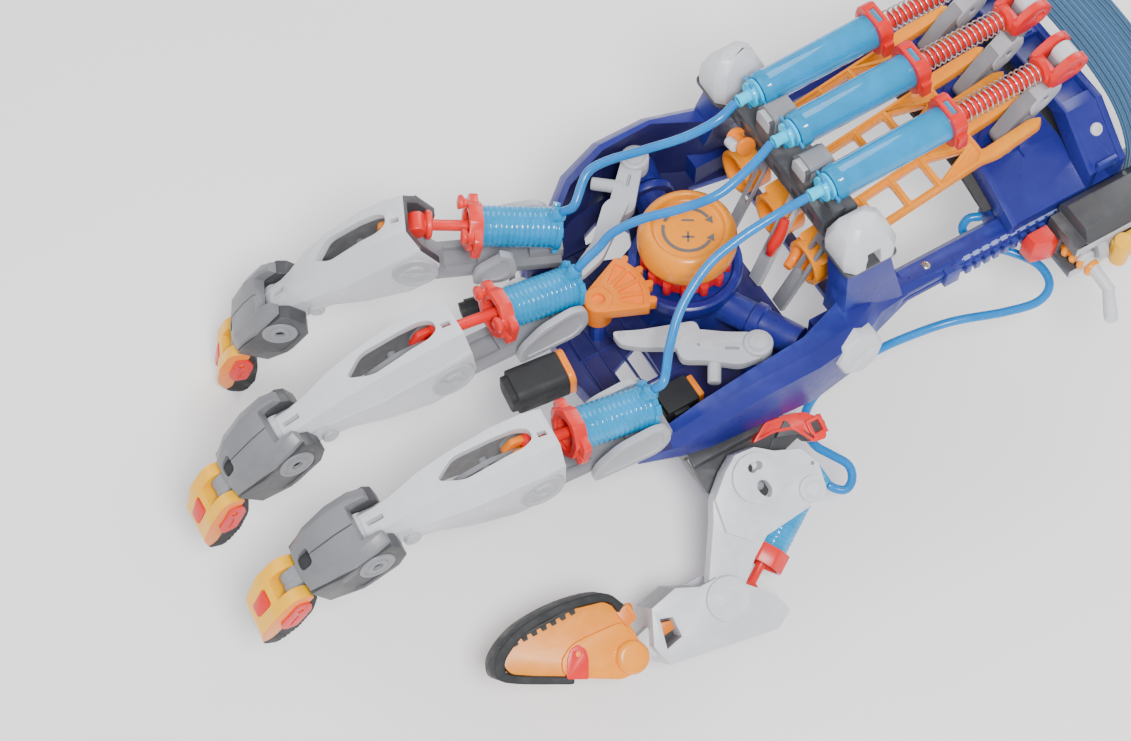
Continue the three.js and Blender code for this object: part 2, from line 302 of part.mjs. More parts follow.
// ---------- tubes ----------
// end of a finger cylinder's inlet, and a point out along it
function inlet(n, d) {
  const f = FINGERS[n], m = T(...f.k).multiply(Rz(f.splay)).multiply(T(f.cyl, 0, 9.2)).multiply(Ry(SLAVE_TILT));
  const a = V(SLAVE_LEN - 1, 0, 13), u = V(5, 0, 7).normalize();
  return a.addScaledVector(u, d).applyMatrix4(m).toArray();
}
const TUBES = {
  index: [[-13.9, -30, 68.1], [-30, -29.5, 65.5], [-48, -29, 60.5], [-66, -30.5, 53.5], [-84, -38, 44], [-97, -49, 36.5], inlet("index", 7), inlet("index", 0.5)],
  middle: [[-13.9, 0, 73.1], [-28, -4.6, 70.6], [-46, -6.6, 65], [-62, -1.4, 59], [-78, 7, 51.5], [-90, 12, 43], [-97, 12, 36.5], inlet("middle", 7), inlet("middle", 0.5)],
  ring: [[-13.9, 29.5, 69.1], [-25, 27.6, 65.5], [-40, 31, 59], [-57, 38.4, 52], [-73, 46, 45], [-83, 47, 40.5], inlet("ring", 8), inlet("ring", 0.5)],
  thumb: [[82.9, -47, -2], [77, -44.4, -3], [73.4, -46.4, -8], [78, -54, -13.6], [90, -65, -15.4], [98, -77, -17], [97, -88, -18.6], [87, -92.6, -20], [70, -88.6, -21], [45, -79.5, -22], [22, -72, -30], [7, -68, -38], [-9, -67, -43], [-26, -71, -46], [-36, -79, -49], [-37, -90, -51], [-33, -99, -51], [-29.2, -107.7, -50.8], [-31, -114, -53], [-36, -116.4, -54.6], [-39.2, -114.8, -54.6]],
};
for (const [n, pts] of Object.entries(TUBES)) node("tube_" + n, sweep(pts, TUBE_R, n === "thumb" ? 36 : 12), "tube");
root.updateMatrixWorld(true);
export default root;
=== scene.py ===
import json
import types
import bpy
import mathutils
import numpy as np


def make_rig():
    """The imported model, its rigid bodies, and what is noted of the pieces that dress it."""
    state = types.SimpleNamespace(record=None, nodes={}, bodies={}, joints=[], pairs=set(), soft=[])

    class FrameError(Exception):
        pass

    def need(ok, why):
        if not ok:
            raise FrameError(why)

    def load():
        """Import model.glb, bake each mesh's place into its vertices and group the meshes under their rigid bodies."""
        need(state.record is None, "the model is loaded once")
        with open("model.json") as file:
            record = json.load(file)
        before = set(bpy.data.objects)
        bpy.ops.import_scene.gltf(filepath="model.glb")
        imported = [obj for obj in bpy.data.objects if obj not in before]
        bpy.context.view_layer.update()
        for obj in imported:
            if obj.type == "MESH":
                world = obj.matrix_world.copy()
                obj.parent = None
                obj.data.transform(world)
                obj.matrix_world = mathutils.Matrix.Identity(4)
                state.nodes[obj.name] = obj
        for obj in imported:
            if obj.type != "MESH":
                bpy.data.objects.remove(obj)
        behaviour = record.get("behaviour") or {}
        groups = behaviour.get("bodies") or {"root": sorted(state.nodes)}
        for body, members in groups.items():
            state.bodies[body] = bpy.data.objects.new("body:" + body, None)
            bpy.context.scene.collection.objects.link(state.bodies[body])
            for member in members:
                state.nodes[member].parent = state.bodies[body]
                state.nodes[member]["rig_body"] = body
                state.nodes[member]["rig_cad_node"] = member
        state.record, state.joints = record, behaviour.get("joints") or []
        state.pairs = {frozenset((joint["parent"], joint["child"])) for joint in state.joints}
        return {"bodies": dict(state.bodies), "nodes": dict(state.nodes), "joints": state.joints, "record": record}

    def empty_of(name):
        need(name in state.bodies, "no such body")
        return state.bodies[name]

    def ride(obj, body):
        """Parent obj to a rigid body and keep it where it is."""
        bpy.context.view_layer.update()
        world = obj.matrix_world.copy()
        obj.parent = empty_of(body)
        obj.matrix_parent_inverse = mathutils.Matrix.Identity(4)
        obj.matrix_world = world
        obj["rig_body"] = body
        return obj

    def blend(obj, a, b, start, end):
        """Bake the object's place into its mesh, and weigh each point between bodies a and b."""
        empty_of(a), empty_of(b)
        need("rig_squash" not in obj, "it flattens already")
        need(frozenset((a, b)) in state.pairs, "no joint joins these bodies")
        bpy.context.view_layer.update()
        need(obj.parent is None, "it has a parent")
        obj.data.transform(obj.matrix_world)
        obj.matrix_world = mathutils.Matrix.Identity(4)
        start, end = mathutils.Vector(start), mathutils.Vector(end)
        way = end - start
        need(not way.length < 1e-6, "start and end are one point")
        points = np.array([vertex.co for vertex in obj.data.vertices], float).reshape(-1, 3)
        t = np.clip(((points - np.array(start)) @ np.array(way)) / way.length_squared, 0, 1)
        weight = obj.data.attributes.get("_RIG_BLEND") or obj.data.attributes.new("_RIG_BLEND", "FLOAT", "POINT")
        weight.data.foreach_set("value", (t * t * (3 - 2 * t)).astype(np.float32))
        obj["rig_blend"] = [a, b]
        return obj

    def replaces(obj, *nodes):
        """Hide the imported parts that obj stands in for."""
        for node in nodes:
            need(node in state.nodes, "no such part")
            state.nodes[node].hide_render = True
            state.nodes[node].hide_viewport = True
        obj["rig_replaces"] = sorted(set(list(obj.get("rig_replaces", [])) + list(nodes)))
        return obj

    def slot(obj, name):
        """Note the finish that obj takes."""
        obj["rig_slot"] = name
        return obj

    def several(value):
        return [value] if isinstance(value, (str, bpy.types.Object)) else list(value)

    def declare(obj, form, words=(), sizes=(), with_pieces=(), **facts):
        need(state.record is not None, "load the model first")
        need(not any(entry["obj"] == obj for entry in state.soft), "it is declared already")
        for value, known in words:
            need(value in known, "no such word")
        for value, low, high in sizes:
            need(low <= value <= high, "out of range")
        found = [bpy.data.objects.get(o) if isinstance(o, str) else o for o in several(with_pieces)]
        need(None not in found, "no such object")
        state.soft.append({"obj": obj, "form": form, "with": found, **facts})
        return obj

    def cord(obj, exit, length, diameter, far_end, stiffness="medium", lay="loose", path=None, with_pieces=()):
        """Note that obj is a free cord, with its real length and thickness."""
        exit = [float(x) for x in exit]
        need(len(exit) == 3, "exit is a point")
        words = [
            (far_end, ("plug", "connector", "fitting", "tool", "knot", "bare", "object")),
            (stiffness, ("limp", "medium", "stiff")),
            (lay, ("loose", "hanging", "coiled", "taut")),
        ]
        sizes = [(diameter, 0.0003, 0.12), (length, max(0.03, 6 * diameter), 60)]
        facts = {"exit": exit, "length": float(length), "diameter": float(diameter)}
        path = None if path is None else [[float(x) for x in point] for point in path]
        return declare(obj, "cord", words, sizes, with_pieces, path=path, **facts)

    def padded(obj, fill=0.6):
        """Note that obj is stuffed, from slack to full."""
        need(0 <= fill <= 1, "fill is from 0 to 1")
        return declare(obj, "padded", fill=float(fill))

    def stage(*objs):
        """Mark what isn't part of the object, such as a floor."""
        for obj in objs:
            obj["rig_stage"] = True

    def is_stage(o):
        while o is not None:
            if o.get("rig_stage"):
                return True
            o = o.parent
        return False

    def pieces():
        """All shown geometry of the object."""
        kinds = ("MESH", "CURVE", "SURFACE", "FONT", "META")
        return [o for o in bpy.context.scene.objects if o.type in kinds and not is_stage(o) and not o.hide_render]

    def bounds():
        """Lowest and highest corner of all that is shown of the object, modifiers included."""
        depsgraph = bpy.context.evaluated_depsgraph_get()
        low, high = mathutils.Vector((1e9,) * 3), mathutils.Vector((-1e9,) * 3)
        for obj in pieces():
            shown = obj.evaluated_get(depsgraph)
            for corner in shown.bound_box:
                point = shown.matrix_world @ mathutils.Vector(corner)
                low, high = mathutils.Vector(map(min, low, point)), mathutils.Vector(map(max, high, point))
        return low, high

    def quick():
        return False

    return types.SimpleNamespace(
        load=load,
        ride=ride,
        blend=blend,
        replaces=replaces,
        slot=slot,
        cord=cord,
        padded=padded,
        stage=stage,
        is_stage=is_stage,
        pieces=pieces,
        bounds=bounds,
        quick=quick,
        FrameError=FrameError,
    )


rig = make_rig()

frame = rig.load()
import bpy, bmesh, math, json
from mathutils import Matrix, Vector, Quaternion, noise

CAD_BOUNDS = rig.bounds()
MM = 0.001
D2R = math.pi / 180
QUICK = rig.quick()

# ------------------------------------------------------------------ camera
cam_data = bpy.data.cameras.new("camera")
cam_data.sensor_width = 36
cam_data.sensor_fit = "HORIZONTAL"
cam_data.lens = 77.03
cam_data.clip_start = 0.01
cam = bpy.data.objects.new("camera", cam_data)
bpy.context.scene.collection.objects.link(cam)
_e, _a = 61.0 * D2R, 30.76 * D2R
_f = Vector((math.sin(_a) * math.cos(_e), math.cos(_a) * math.cos(_e), -math.sin(_e)))
_r = Vector((math.cos(_a), -math.sin(_a), 0))
_u = _r.cross(_f)
_m = Matrix((_r, _u, -_f)).transposed().to_4x4()
_m.translation = Vector((-139.0, -28.0, 20.0)) * MM - _f * 1.1
cam.matrix_world = _m
bpy.context.scene.camera = cam

# ------------------------------------------------------------------ mesh helpers (all in mm, turned to metres when placed)
def T(x, y, z): return Matrix.Translation((x, y, z))
def Ry(d): return Matrix.Rotation(d * D2R, 4, "Y")
def Rz(d): return Matrix.Rotation(d * D2R, 4, "Z")
def Rx(d): return Matrix.Rotation(d * D2R, 4, "X")


class G:
    """A closed solid: vertices in mm and faces."""
    def __init__(self, v, f):
        self.v, self.f = [Vector(p) for p in v], [list(x) for x in f]

    def at(self, m):
        g = G([m @ p for p in self.v], self.f)
        if m.determinant() < 0:
            g.f = [x[::-1] for x in g.f]
        return g


def fix(g):
    vol = 0.0
    for x in g.f:
        a = g.v[x[0]]
        for i in range(1, len(x) - 1):
            vol += a.dot(g.v[x[i]].cross(g.v[x[i + 1]]))
    if vol < 0:
        g.f = [x[::-1] for x in g.f]
    return g


def box(x0, x1, y0, y1, z0, z1):
    v = [(x, y, z) for x in (x0, x1) for y in (y0, y1) for z in (z0, z1)]
    return fix(G(v, [(0, 1, 3, 2), (4, 6, 7, 5), (0, 4, 5, 1), (2, 3, 7, 6), (0, 2, 6, 4), (1, 5, 7, 3)]))


def loft(rings):
    n = len(rings[0])
    v = [p for r in rings for p in r]
    f = [list(range(n)), [(len(rings) - 1) * n + i for i in range(n - 1, -1, -1)]]
    for i in range(len(rings) - 1):
        for j in range(n):
            a, b = i * n + j, i * n + (j + 1) % n
            f.append([b, a, a + n, b + n])
    return fix(G(v, f))


def pz(pts, z0, z1): return loft([[(x, y, z0) for x, y in pts], [(x, y, z1) for x, y in pts]])
def py(pts, y0, y1): return loft([[(x, y0, z) for x, z in pts], [(x, y1, z) for x, z in pts]])
def px(pts, x0, x1): return loft([[(x0, y, z) for y, z in pts], [(x1, y, z) for y, z in pts]])
def ring(cx, cy, r, n=40, a0=0.0): return [(cx + r * math.cos(a0 + 2 * math.pi * i / n), cy + r * math.sin(a0 + 2 * math.pi * i / n)) for i in range(n)]


def basis(a, b):
    d = (Vector(b) - Vector(a)).normalized()
    q = Vector((0, 0, 1)).rotation_difference(d)
    m = q.to_matrix().to_4x4()
    m.translation = Vector(a)
    return m


def rod(a, b, r1, r2=None, n=36):
    r2 = r1 if r2 is None else r2
    h = (Vector(b) - Vector(a)).length
    return loft([[(x, y, 0) for x, y in ring(0, 0, r1, n)], [(x, y, h) for x, y in ring(0, 0, r2, n)]]).at(basis(a, b))


def lathe(a, b, prof, n=40):
    """prof: (distance along a->b, radius) pairs; a solid of turning with flat ends."""
    d = [[(x, y, s) for x, y in ring(0, 0, max(r, 0.02), n)] for s, r in prof]
    return loft(d).at(basis(a, b))


def smooth_poly(pts, r=1.5, seg=4, closed=True):
    """Rounds the corners of an outline."""
    out, n = [], len(pts)
    for i in range(n):
        p, a, b = Vector(pts[i]), Vector(pts[i - 1]), Vector(pts[(i + 1) % n])
        da, db = a - p, b - p
        k = min(r, da.length * 0.45, db.length * 0.45)
        s, e = p + da.normalized() * k, p + db.normalized() * k
        for j in range(seg + 1):
            t = j / seg
            out.append(tuple(s * (1 - t) ** 2 + p * 2 * t * (1 - t) + e * t * t))
    return out


def catmull(pts, n):
    P = [Vector(p) for p in pts]
    P = [P[0] * 2 - P[1]] + P + [P[-1] * 2 - P[-2]]
    out = []
    for i in range(1, len(P) - 2):
        for j in range(n):
            t = j / n
            a, b, c, d = P[i - 1], P[i], P[i + 1], P[i + 2]
            out.append(0.5 * ((2 * b) + (c - a) * t + (2 * a - 5 * b + 4 * c - d) * t * t + (3 * b - a - 3 * c + d) * t ** 3))
    out.append(P[-2])
    return out


def resample(pts, n):
    L = [0.0]
    for a, b in zip(pts, pts[1:]):
        L.append(L[-1] + (b - a).length)
    out, k = [], 0
    for i in range(n):
        s = L[-1] * i / (n - 1)
        while k < len(L) - 2 and L[k + 1] < s:
            k += 1
        t = (s - L[k]) / max(L[k + 1] - L[k], 1e-9)
        out.append(pts[k].lerp(pts[k + 1], min(max(t, 0), 1)))
    return out, L[-1]


def tube(pts, r, n=16, ends=True):
    """A tube along points with a steady frame."""
    rings, up = [], None
    for i, p in enumerate(pts):
        t = (pts[min(i + 1, len(pts) - 1)] - pts[max(i - 1, 0)]).normalized()
        if up is None:
            up = t.orthogonal().normalized()
        up = (up - t * up.dot(t)).normalized()
        w = t.cross(up)
        rr = r(i / (len(pts) - 1)) if callable(r) else r
        rings.append([p + (up * math.cos(2 * math.pi * k / n) + w * math.sin(2 * math.pi * k / n)) * rr for k in range(n)])
    return loft(rings)


_scratch = []


def obj_of(g, name="tmp"):
    me = bpy.data.meshes.new(name)
    me.from_pydata([p * MM for p in g.v], [], g.f)
    me.update()
    o = bpy.data.objects.new(name, me)
    bpy.context.scene.collection.objects.link(o)
    return o


def bake(o):
    bpy.context.view_layer.update()
    dg = bpy.context.evaluated_depsgraph_get()
    me = bpy.data.meshes.new_from_object(o.evaluated_get(dg))
    old = o.data
    o.modifiers.clear()
    o.data = me
    if old.users == 0:
        bpy.data.meshes.remove(old)
    return o


def boolean(o, others, op):
    for g in others:
        c = g if isinstance(g, bpy.types.Object) else obj_of(g, "cutter")
        m = o.modifiers.new("b", "BOOLEAN")
        m.operation, m.object = op, c
        try:
            m.solver = "MANIFOLD"
        except TypeError:
            m.solver = "EXACT"
        before = len(o.data.vertices)
        bake(o)
        if len(o.data.vertices) == 0:
            print("EMPTY BOOLEAN", o.name)
        bpy.data.objects.remove(c)
    return o


def finish_mesh(o, bevel=0.0, seg=2, angle=32, sharp=38, merge=True, grid=()):
    bm = bmesh.new()
    bm.from_mesh(o.data)
    if merge:
        bmesh.ops.remove_doubles(bm, verts=bm.verts, dist=2e-6)
        bmesh.ops.dissolve_limit(bm, angle_limit=0.6 * D2R, verts=bm.verts, edges=bm.edges)
    for ax, val in grid:
        co, no = [0, 0, 0], [0, 0, 0]
        co[ax], no[ax] = val * MM, 1
        bmesh.ops.bisect_plane(bm, geom=bm.verts[:] + bm.edges[:] + bm.faces[:], dist=1e-7, plane_co=co, plane_no=no)
    bmesh.ops.recalc_face_normals(bm, faces=bm.faces)
    bm.to_mesh(o.data)
    bm.free()
    if bevel > 0:
        m = o.modifiers.new("bevel", "BEVEL")
        m.width, m.segments, m.limit_method, m.angle_limit = bevel * MM, seg, "ANGLE", angle * D2R
        m.use_clamp_overlap = True
        m.harden_normals = False
        m.miter_outer = "MITER_ARC"
        bake(o)
    for p in o.data.polygons:
        p.use_smooth = True
    o.data.set_sharp_from_angle(angle=sharp * D2R)
    return o


def piece(name, body, mat, add, cut=(), bevel=0.6, seg=2, angle=32, sharp=38, m=None, replaces=(), slot=None, extra=(), merge=True):
    """Unites the solids in add, takes away those in cut, rounds the edges, and lets the piece ride on a body."""
    add = [g.at(m) for g in add] if m is not None else list(add)
    cut = [g.at(m) for g in cut] if m is not None else list(cut)
    o = obj_of(add[0], name)
    o.name = name
    if len(add) > 1:
        boolean(o, add[1:], "UNION")
    if cut:
        boolean(o, cut, "DIFFERENCE")
    finish_mesh(o, bevel, seg, angle, sharp, merge)
    if extra:
        for g in extra:
            g2 = g.at(m) if m is not None else g
            c = obj_of(g2, "x")
            finish_mesh(c, 0.0, merge=False)
            bm = bmesh.new()
            bm.from_mesh(o.data)
            bm.from_mesh(c.data)
            bm.to_mesh(o.data)
            bm.free()
            bpy.data.objects.remove(c)
        for p in o.data.polygons:
            p.use_smooth = True
        o.data.set_sharp_from_angle(angle=sharp * D2R)
    o.data.materials.clear()
    o.data.materials.append(mat)
    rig.ride(o, body)
    if replaces:
        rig.replaces(o, *([replaces] if isinstance(replaces, str) else replaces))
    if slot:
        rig.slot(o, slot)
    return o


# ------------------------------------------------------------------ materials
def _nodes(name):
    m = bpy.data.materials.new(name)
    m.use_nodes = True
    nt = m.node_tree
    b = nt.nodes["Principled BSDF"]
    return m, nt, b


def noise_tex(nt, scale, detail=3.0, rough=0.55, coord=None, dist=0.0):
    n = nt.nodes.new("ShaderNodeTexNoise")
    n.inputs["Scale"].default_value = scale
    n.inputs["Detail"].default_value = detail
    n.inputs["Roughness"].default_value = rough
    n.inputs["Distortion"].default_value = dist
    nt.links.new(coord, n.inputs["Vector"])
    return n.outputs["Fac"]


def ramp(nt, src, a, b, ca, cb):
    r = nt.nodes.new("ShaderNodeValToRGB")
    r.color_ramp.elements[0].position, r.color_ramp.elements[1].position = a, b
    r.color_ramp.elements[0].color, r.color_ramp.elements[1].color = (*ca, 1), (*cb, 1)
    nt.links.new(src, r.inputs["Fac"])
    return r.outputs["Color"]


def mix(nt, fac, a, b, kind="MIX"):
    n = nt.nodes.new("ShaderNodeMix")
    n.data_type, n.blend_type = "RGBA", kind
    for i, s in ((0, fac), (6, a), (7, b)):
        if hasattr(s, "links"):
            nt.links.new(s, n.inputs[i])
        else:
            n.inputs[i].default_value = s if i == 0 else (*s, 1)
    return n.outputs[2]


def rng(nt, src, a, b, c, d):
    n = nt.nodes.new("ShaderNodeMapRange")
    for i, v in ((1, a), (2, b), (3, c), (4, d)):
        n.inputs[i].default_value = v
    nt.links.new(src, n.inputs[0])
    return n.outputs[0]


def plastic(name, col, rough=0.34, var=0.10, wear=0.10, grain=0.05, coat=0.12, edge=None, sss=0.0):
    """Injection-moulded plastic: broad tone drift, fine spark-eroded grain, scuffed roughness and paler edges."""
    m, nt, b = _nodes(name)
    co = nt.nodes.new("ShaderNodeTexCoord").outputs["Object"]
    big = noise_tex(nt, 22, 3, 0.5, co)
    mid = noise_tex(nt, 160, 4, 0.6, co, 0.3)
    fine = noise_tex(nt, 2600, 2, 0.6, co)
    lo = tuple(max(0, c * (1 - var)) for c in col)
    hi = tuple(min(1, c * (1 + var) + 0.004) for c in col)
    c1 = ramp(nt, big, 0.32, 0.68, lo, hi)
    sp = ramp(nt, mid, 0.46, 0.72, (0.93, 0.93, 0.93), (1, 1, 1))
    c2 = mix(nt, 0.7, c1, sp, "MULTIPLY")
    geo = nt.nodes.new("ShaderNodeNewGeometry")
    e = edge or tuple(min(1, c * 0.72 + 0.24) for c in col)
    point = rng(nt, geo.outputs["Pointiness"], 0.53, 0.62, 0.0, wear * 2)
    worn = nt.nodes.new("ShaderNodeMath")
    worn.operation = "MULTIPLY"
    nt.links.new(point, worn.inputs[0])
    nt.links.new(rng(nt, mid, 0.35, 0.65, 0.25, 1.0), worn.inputs[1])
    c3 = mix(nt, worn.outputs[0], c2, e)
    nt.links.new(c3, b.inputs["Base Color"])
    nt.links.new(rng(nt, mid, 0.3, 0.75, rough * 0.8, rough * 1.35), b.inputs["Roughness"])
    bump = nt.nodes.new("ShaderNodeBump")
    bump.inputs["Strength"].default_value = grain
    bump.inputs["Distance"].default_value = 0.0003
    nt.links.new(fine, bump.inputs["Height"])
    nt.links.new(bump.outputs["Normal"], b.inputs["Normal"])
    b.inputs["Coat Weight"].default_value = coat
    b.inputs["Coat Roughness"].default_value = 0.22
    b.inputs["Specular IOR Level"].default_value = 0.38
    if sss:
        b.inputs["Subsurface Weight"].default_value = sss
        b.inputs["Subsurface Radius"].default_value = (0.004, 0.002, 0.001)
        b.inputs["Subsurface Scale"].default_value = 0.3
    return m


def clear(name, col, trans=0.9, rough=0.05, alpha=1.0):
    """Clear tinted plastic: slight flow marks in roughness and a rippled inner wall."""
    m, nt, b = _nodes(name)
    co = nt.nodes.new("ShaderNodeTexCoord").outputs["Object"]
    n1 = noise_tex(nt, 90, 3, 0.5, co, 0.6)
    n2 = noise_tex(nt, 500, 2, 0.5, co)
    nt.links.new(ramp(nt, n1, 0.3, 0.7, tuple(c * 0.88 for c in col), tuple(min(1, c * 1.08) for c in col)), b.inputs["Base Color"])
    nt.links.new(rng(nt, n2, 0.3, 0.7, rough, rough * 2.4), b.inputs["Roughness"])
    bump = nt.nodes.new("ShaderNodeBump")
    bump.inputs["Strength"].default_value = 0.10
    bump.inputs["Distance"].default_value = 0.0004
    nt.links.new(n1, bump.inputs["Height"])
    nt.links.new(bump.outputs["Normal"], b.inputs["Normal"])
    b.inputs["Transmission Weight"].default_value = trans
    b.inputs["IOR"].default_value = 1.46
    b.inputs["Coat Weight"].default_value = 0.12
    b.inputs["Coat Roughness"].default_value = 0.04
    b.inputs["Specular IOR Level"].default_value = 0.3
    b.inputs["Alpha"].default_value = alpha
    return m


def metal(name, col, rough=0.25):
    m, nt, b = _nodes(name)
    co = nt.nodes.new("ShaderNodeTexCoord").outputs["Object"]
    n1, n2 = noise_tex(nt, 400, 4, 0.6, co), noise_tex(nt, 3000, 2, 0.6, co)
    nt.links.new(ramp(nt, n1, 0.3, 0.7, tuple(c * 0.8 for c in col), col), b.inputs["Base Color"])
    nt.links.new(rng(nt, n1, 0.3, 0.7, rough * 0.7, rough * 1.5), b.inputs["Roughness"])
    bump = nt.nodes.new("ShaderNodeBump")
    bump.inputs["Strength"].default_value = 0.15
    bump.inputs["Distance"].default_value = 0.0002
    nt.links.new(n2, bump.inputs["Height"])
    nt.links.new(bump.outputs["Normal"], b.inputs["Normal"])
    b.inputs["Metallic"].default_value = 1.0
    return m


def foam(name, col):
    m, nt, b = _nodes(name)
    co = nt.nodes.new("ShaderNodeTexCoord").outputs["Object"]
    v = nt.nodes.new("ShaderNodeTexVoronoi")
    v.inputs["Scale"].default_value = 900
    nt.links.new(co, v.inputs["Vector"])
    n1 = noise_tex(nt, 60, 4, 0.6, co)
    nt.links.new(mix(nt, 0.5, ramp(nt, n1, 0.3, 0.7, tuple(c * 0.7 for c in col), tuple(c * 1.3 for c in col)), ramp(nt, v.outputs["Distance"], 0.1, 0.6, (0.7, 0.7, 0.7), (1, 1, 1)), "MULTIPLY"), b.inputs["Base Color"])
    nt.links.new(rng(nt, n1, 0.3, 0.7, 0.75, 0.95), b.inputs["Roughness"])
    bump = nt.nodes.new("ShaderNodeBump")
    bump.inputs["Strength"].default_value = 0.5
    bump.inputs["Distance"].default_value = 0.0004
    nt.links.new(v.outputs["Distance"], bump.inputs["Height"])
    nt.links.new(bump.outputs["Normal"], b.inputs["Normal"])
    return m


def webbing(name, col):
    """Ribbed elastic: fine knit across, broad ribs are in the mesh."""
    m, nt, b = _nodes(name)
    co = nt.nodes.new("ShaderNodeTexCoord").outputs["Object"]
    w = nt.nodes.new("ShaderNodeTexWave")
    w.bands_direction = "X"
    w.inputs["Scale"].default_value = 320
    w.inputs["Distortion"].default_value = 1.2
    w.inputs["Detail"].default_value = 2
    nt.links.new(co, w.inputs["Vector"])
    n1 = noise_tex(nt, 700, 4, 0.7, co)
    c = ramp(nt, w.outputs["Fac"], 0.2, 0.8, tuple(x * 0.6 for x in col), tuple(min(1, x * 1.3) for x in col))
    nt.links.new(mix(nt, 0.6, c, ramp(nt, n1, 0.3, 0.7, (0.6, 0.6, 0.6), (1, 1, 1)), "MULTIPLY"), b.inputs["Base Color"])
    nt.links.new(rng(nt, n1, 0.3, 0.7, 0.75, 0.95), b.inputs["Roughness"])
    bump = nt.nodes.new("ShaderNodeBump")
    bump.inputs["Strength"].default_value = 0.6
    bump.inputs["Distance"].default_value = 0.0004
    nt.links.new(w.outputs["Fac"], bump.inputs["Height"])
    nt.links.new(bump.outputs["Normal"], b.inputs["Normal"])
    b.inputs["Sheen Weight"].default_value = 0.3
    return m


BLUE = plastic("frame_blue", (0.014, 0.018, 0.205), 0.33, 0.14, 0.16, 0.05, 0.10, edge=(0.07, 0.11, 0.50))
# darker blue for the frame's inside faces: painted shade on the same blue plastic
BLUE_SHADE = plastic("frame_blue_painted_shade", (0.014, 0.012, 0.09), 0.38, 0.16, 0.12, 0.05, 0.05, edge=(0.05, 0.06, 0.26))
WHITE = plastic("white_plastic", (0.60, 0.61, 0.65), 0.34, 0.04, 0.10, 0.04, 0.10, edge=(0.84, 0.85, 0.88))
PALE = plastic("pale_grey_plastic", (0.42, 0.43, 0.46), 0.36, 0.05, 0.12, 0.05, 0.08, edge=(0.68, 0.69, 0.72))
GREY = plastic("grey_plastic", (0.22, 0.225, 0.245), 0.38, 0.07, 0.12, 0.05, 0.08, edge=(0.45, 0.45, 0.48))
DARK = plastic("dark_plastic", (0.050, 0.051, 0.056), 0.38, 0.14, 0.16, 0.06, 0.1)
BLACK = plastic("black_rubber", (0.016, 0.017, 0.019), 0.62, 0.2, 0.08, 0.12, 0.0)
RED = plastic("red_plastic", (0.74, 0.012, 0.010), 0.32, 0.10, 0.08, 0.04, 0.10, edge=(0.92, 0.16, 0.10), sss=0.0)
ORANGE = plastic("orange_plastic", (0.90, 0.215, 0.001), 0.34, 0.09, 0.12, 0.04, 0.08, edge=(1.0, 0.50, 0.06), sss=0.0)
YELLOW = plastic("yellow_plastic", (0.96, 0.47, 0.0), 0.31, 0.05, 0.12, 0.04, 0.10, edge=(1.0, 0.74, 0.12), sss=0.0)
CLEAR = clear("clear_blue", (0.0, 0.47, 0.90), 0.50, 0.03)
LIQUID = clear("blue_water", (0.0, 0.62, 1.0), 0.0, 0.05)
TUBE = clear("blue_tube", (0.0, 0.21, 0.60), 0.10, 0.12)
STEEL = metal("spring_steel", (0.72, 0.70, 0.70), 0.22)
FOAM = foam("pad_foam", (0.045, 0.046, 0.05))
STRAP = webbing("ribbed_strap", (0.03, 0.115, 0.24))
INK = plastic("print_grey", (0.13, 0.12, 0.12), 0.45, 0.06, 0.0, 0.02, 0.0)
TOPGREY = plastic("phalanx_grey", (0.165, 0.167, 0.182), 0.38, 0.08, 0.20, 0.05, 0.08, edge=(0.42, 0.42, 0.44))

# ------------------------------------------------------------------ tubes (cords) first
FING = {
    "index": dict(k=(-176, -56, 14), s=-4, p=(0, 25, 52), cyl=24, petal=((26, 66), (26, 66)), pivot=58),
    "middle": dict(k=(-183, 13.5, 14), s=-1.5, p=(5.5, 36, 61), cyl=34, petal=((34, 72), (30, 56)), pivot=62),
    "ring": dict(k=(-164, 71, 14), s=-24.4, p=(33, 55.5, 70), cyl=31, petal=((26, 48), (26, 66)), pivot=58),
}
L1, L2, SL, TILT = 81, 38, 39, 12


def fmat(n):
    f = FING[n]
    F = T(*f["k"]) @ Rz(f["s"])
    P = F @ Ry(-f["p"][0])
    Q = P @ T(-L1, 0, 0) @ Ry(-(f["p"][1] - f["p"][0]))
    E = Q @ T(-L2, 0, 0) @ Ry(-(f["p"][2] - f["p"][1]))
    S = F @ T(f["cyl"], 0, 9.2) @ Ry(TILT)
    return F, P, Q, E, S


def inlet(n, d):
    u = Vector((5, 0, 7)).normalized()
    return tuple(fmat(n)[4] @ (Vector((SL - 1, 0, 13)) + u * d))


ROUTES = {
    "index": [(-13.9, -30, 68.1), (-30, -29.5, 65.5), (-48, -29, 60.5), (-66, -30.5, 53.5), (-84, -38, 44), (-97, -49, 36.5), inlet("index", 7), inlet("index", 0.5)],
    "middle": [(-13.9, 0, 73.1), (-28, -4.6, 70.6), (-46, -6.6, 65), (-62, -1.4, 59), (-78, 7, 51.5), (-90, 12, 43), (-97, 12, 36.5), inlet("middle", 7), inlet("middle", 0.5)],
    "ring": [(-13.9, 29.5, 69.1), (-25, 27.6, 65.5), (-40, 31, 59), (-57, 38.4, 52), (-73, 46, 45), (-83, 47, 40.5), inlet("ring", 8), inlet("ring", 0.5)],
    "thumb": [(82.9, -47, -2), (77, -44.4, -3), (73.4, -46.4, -8), (78, -54, -13.6), (90, -65, -15.4), (98, -77, -17), (97, -88, -18.6), (87, -92.6, -20), (70, -88.6, -21), (45, -79.5, -22), (22, -72, -30), (7, -68, -38), (-9, -67, -43), (-26, -71, -46), (-36, -79, -49), (-37, -90, -51), (-33, -99, -51), (-29.2, -107.7, -50.8), (-31, -114, -53), (-36, -116.6, -54.6), (-40.4, -113.6, -54.3), (-42.6, -110.4, -53)],
}
TUBES = {}
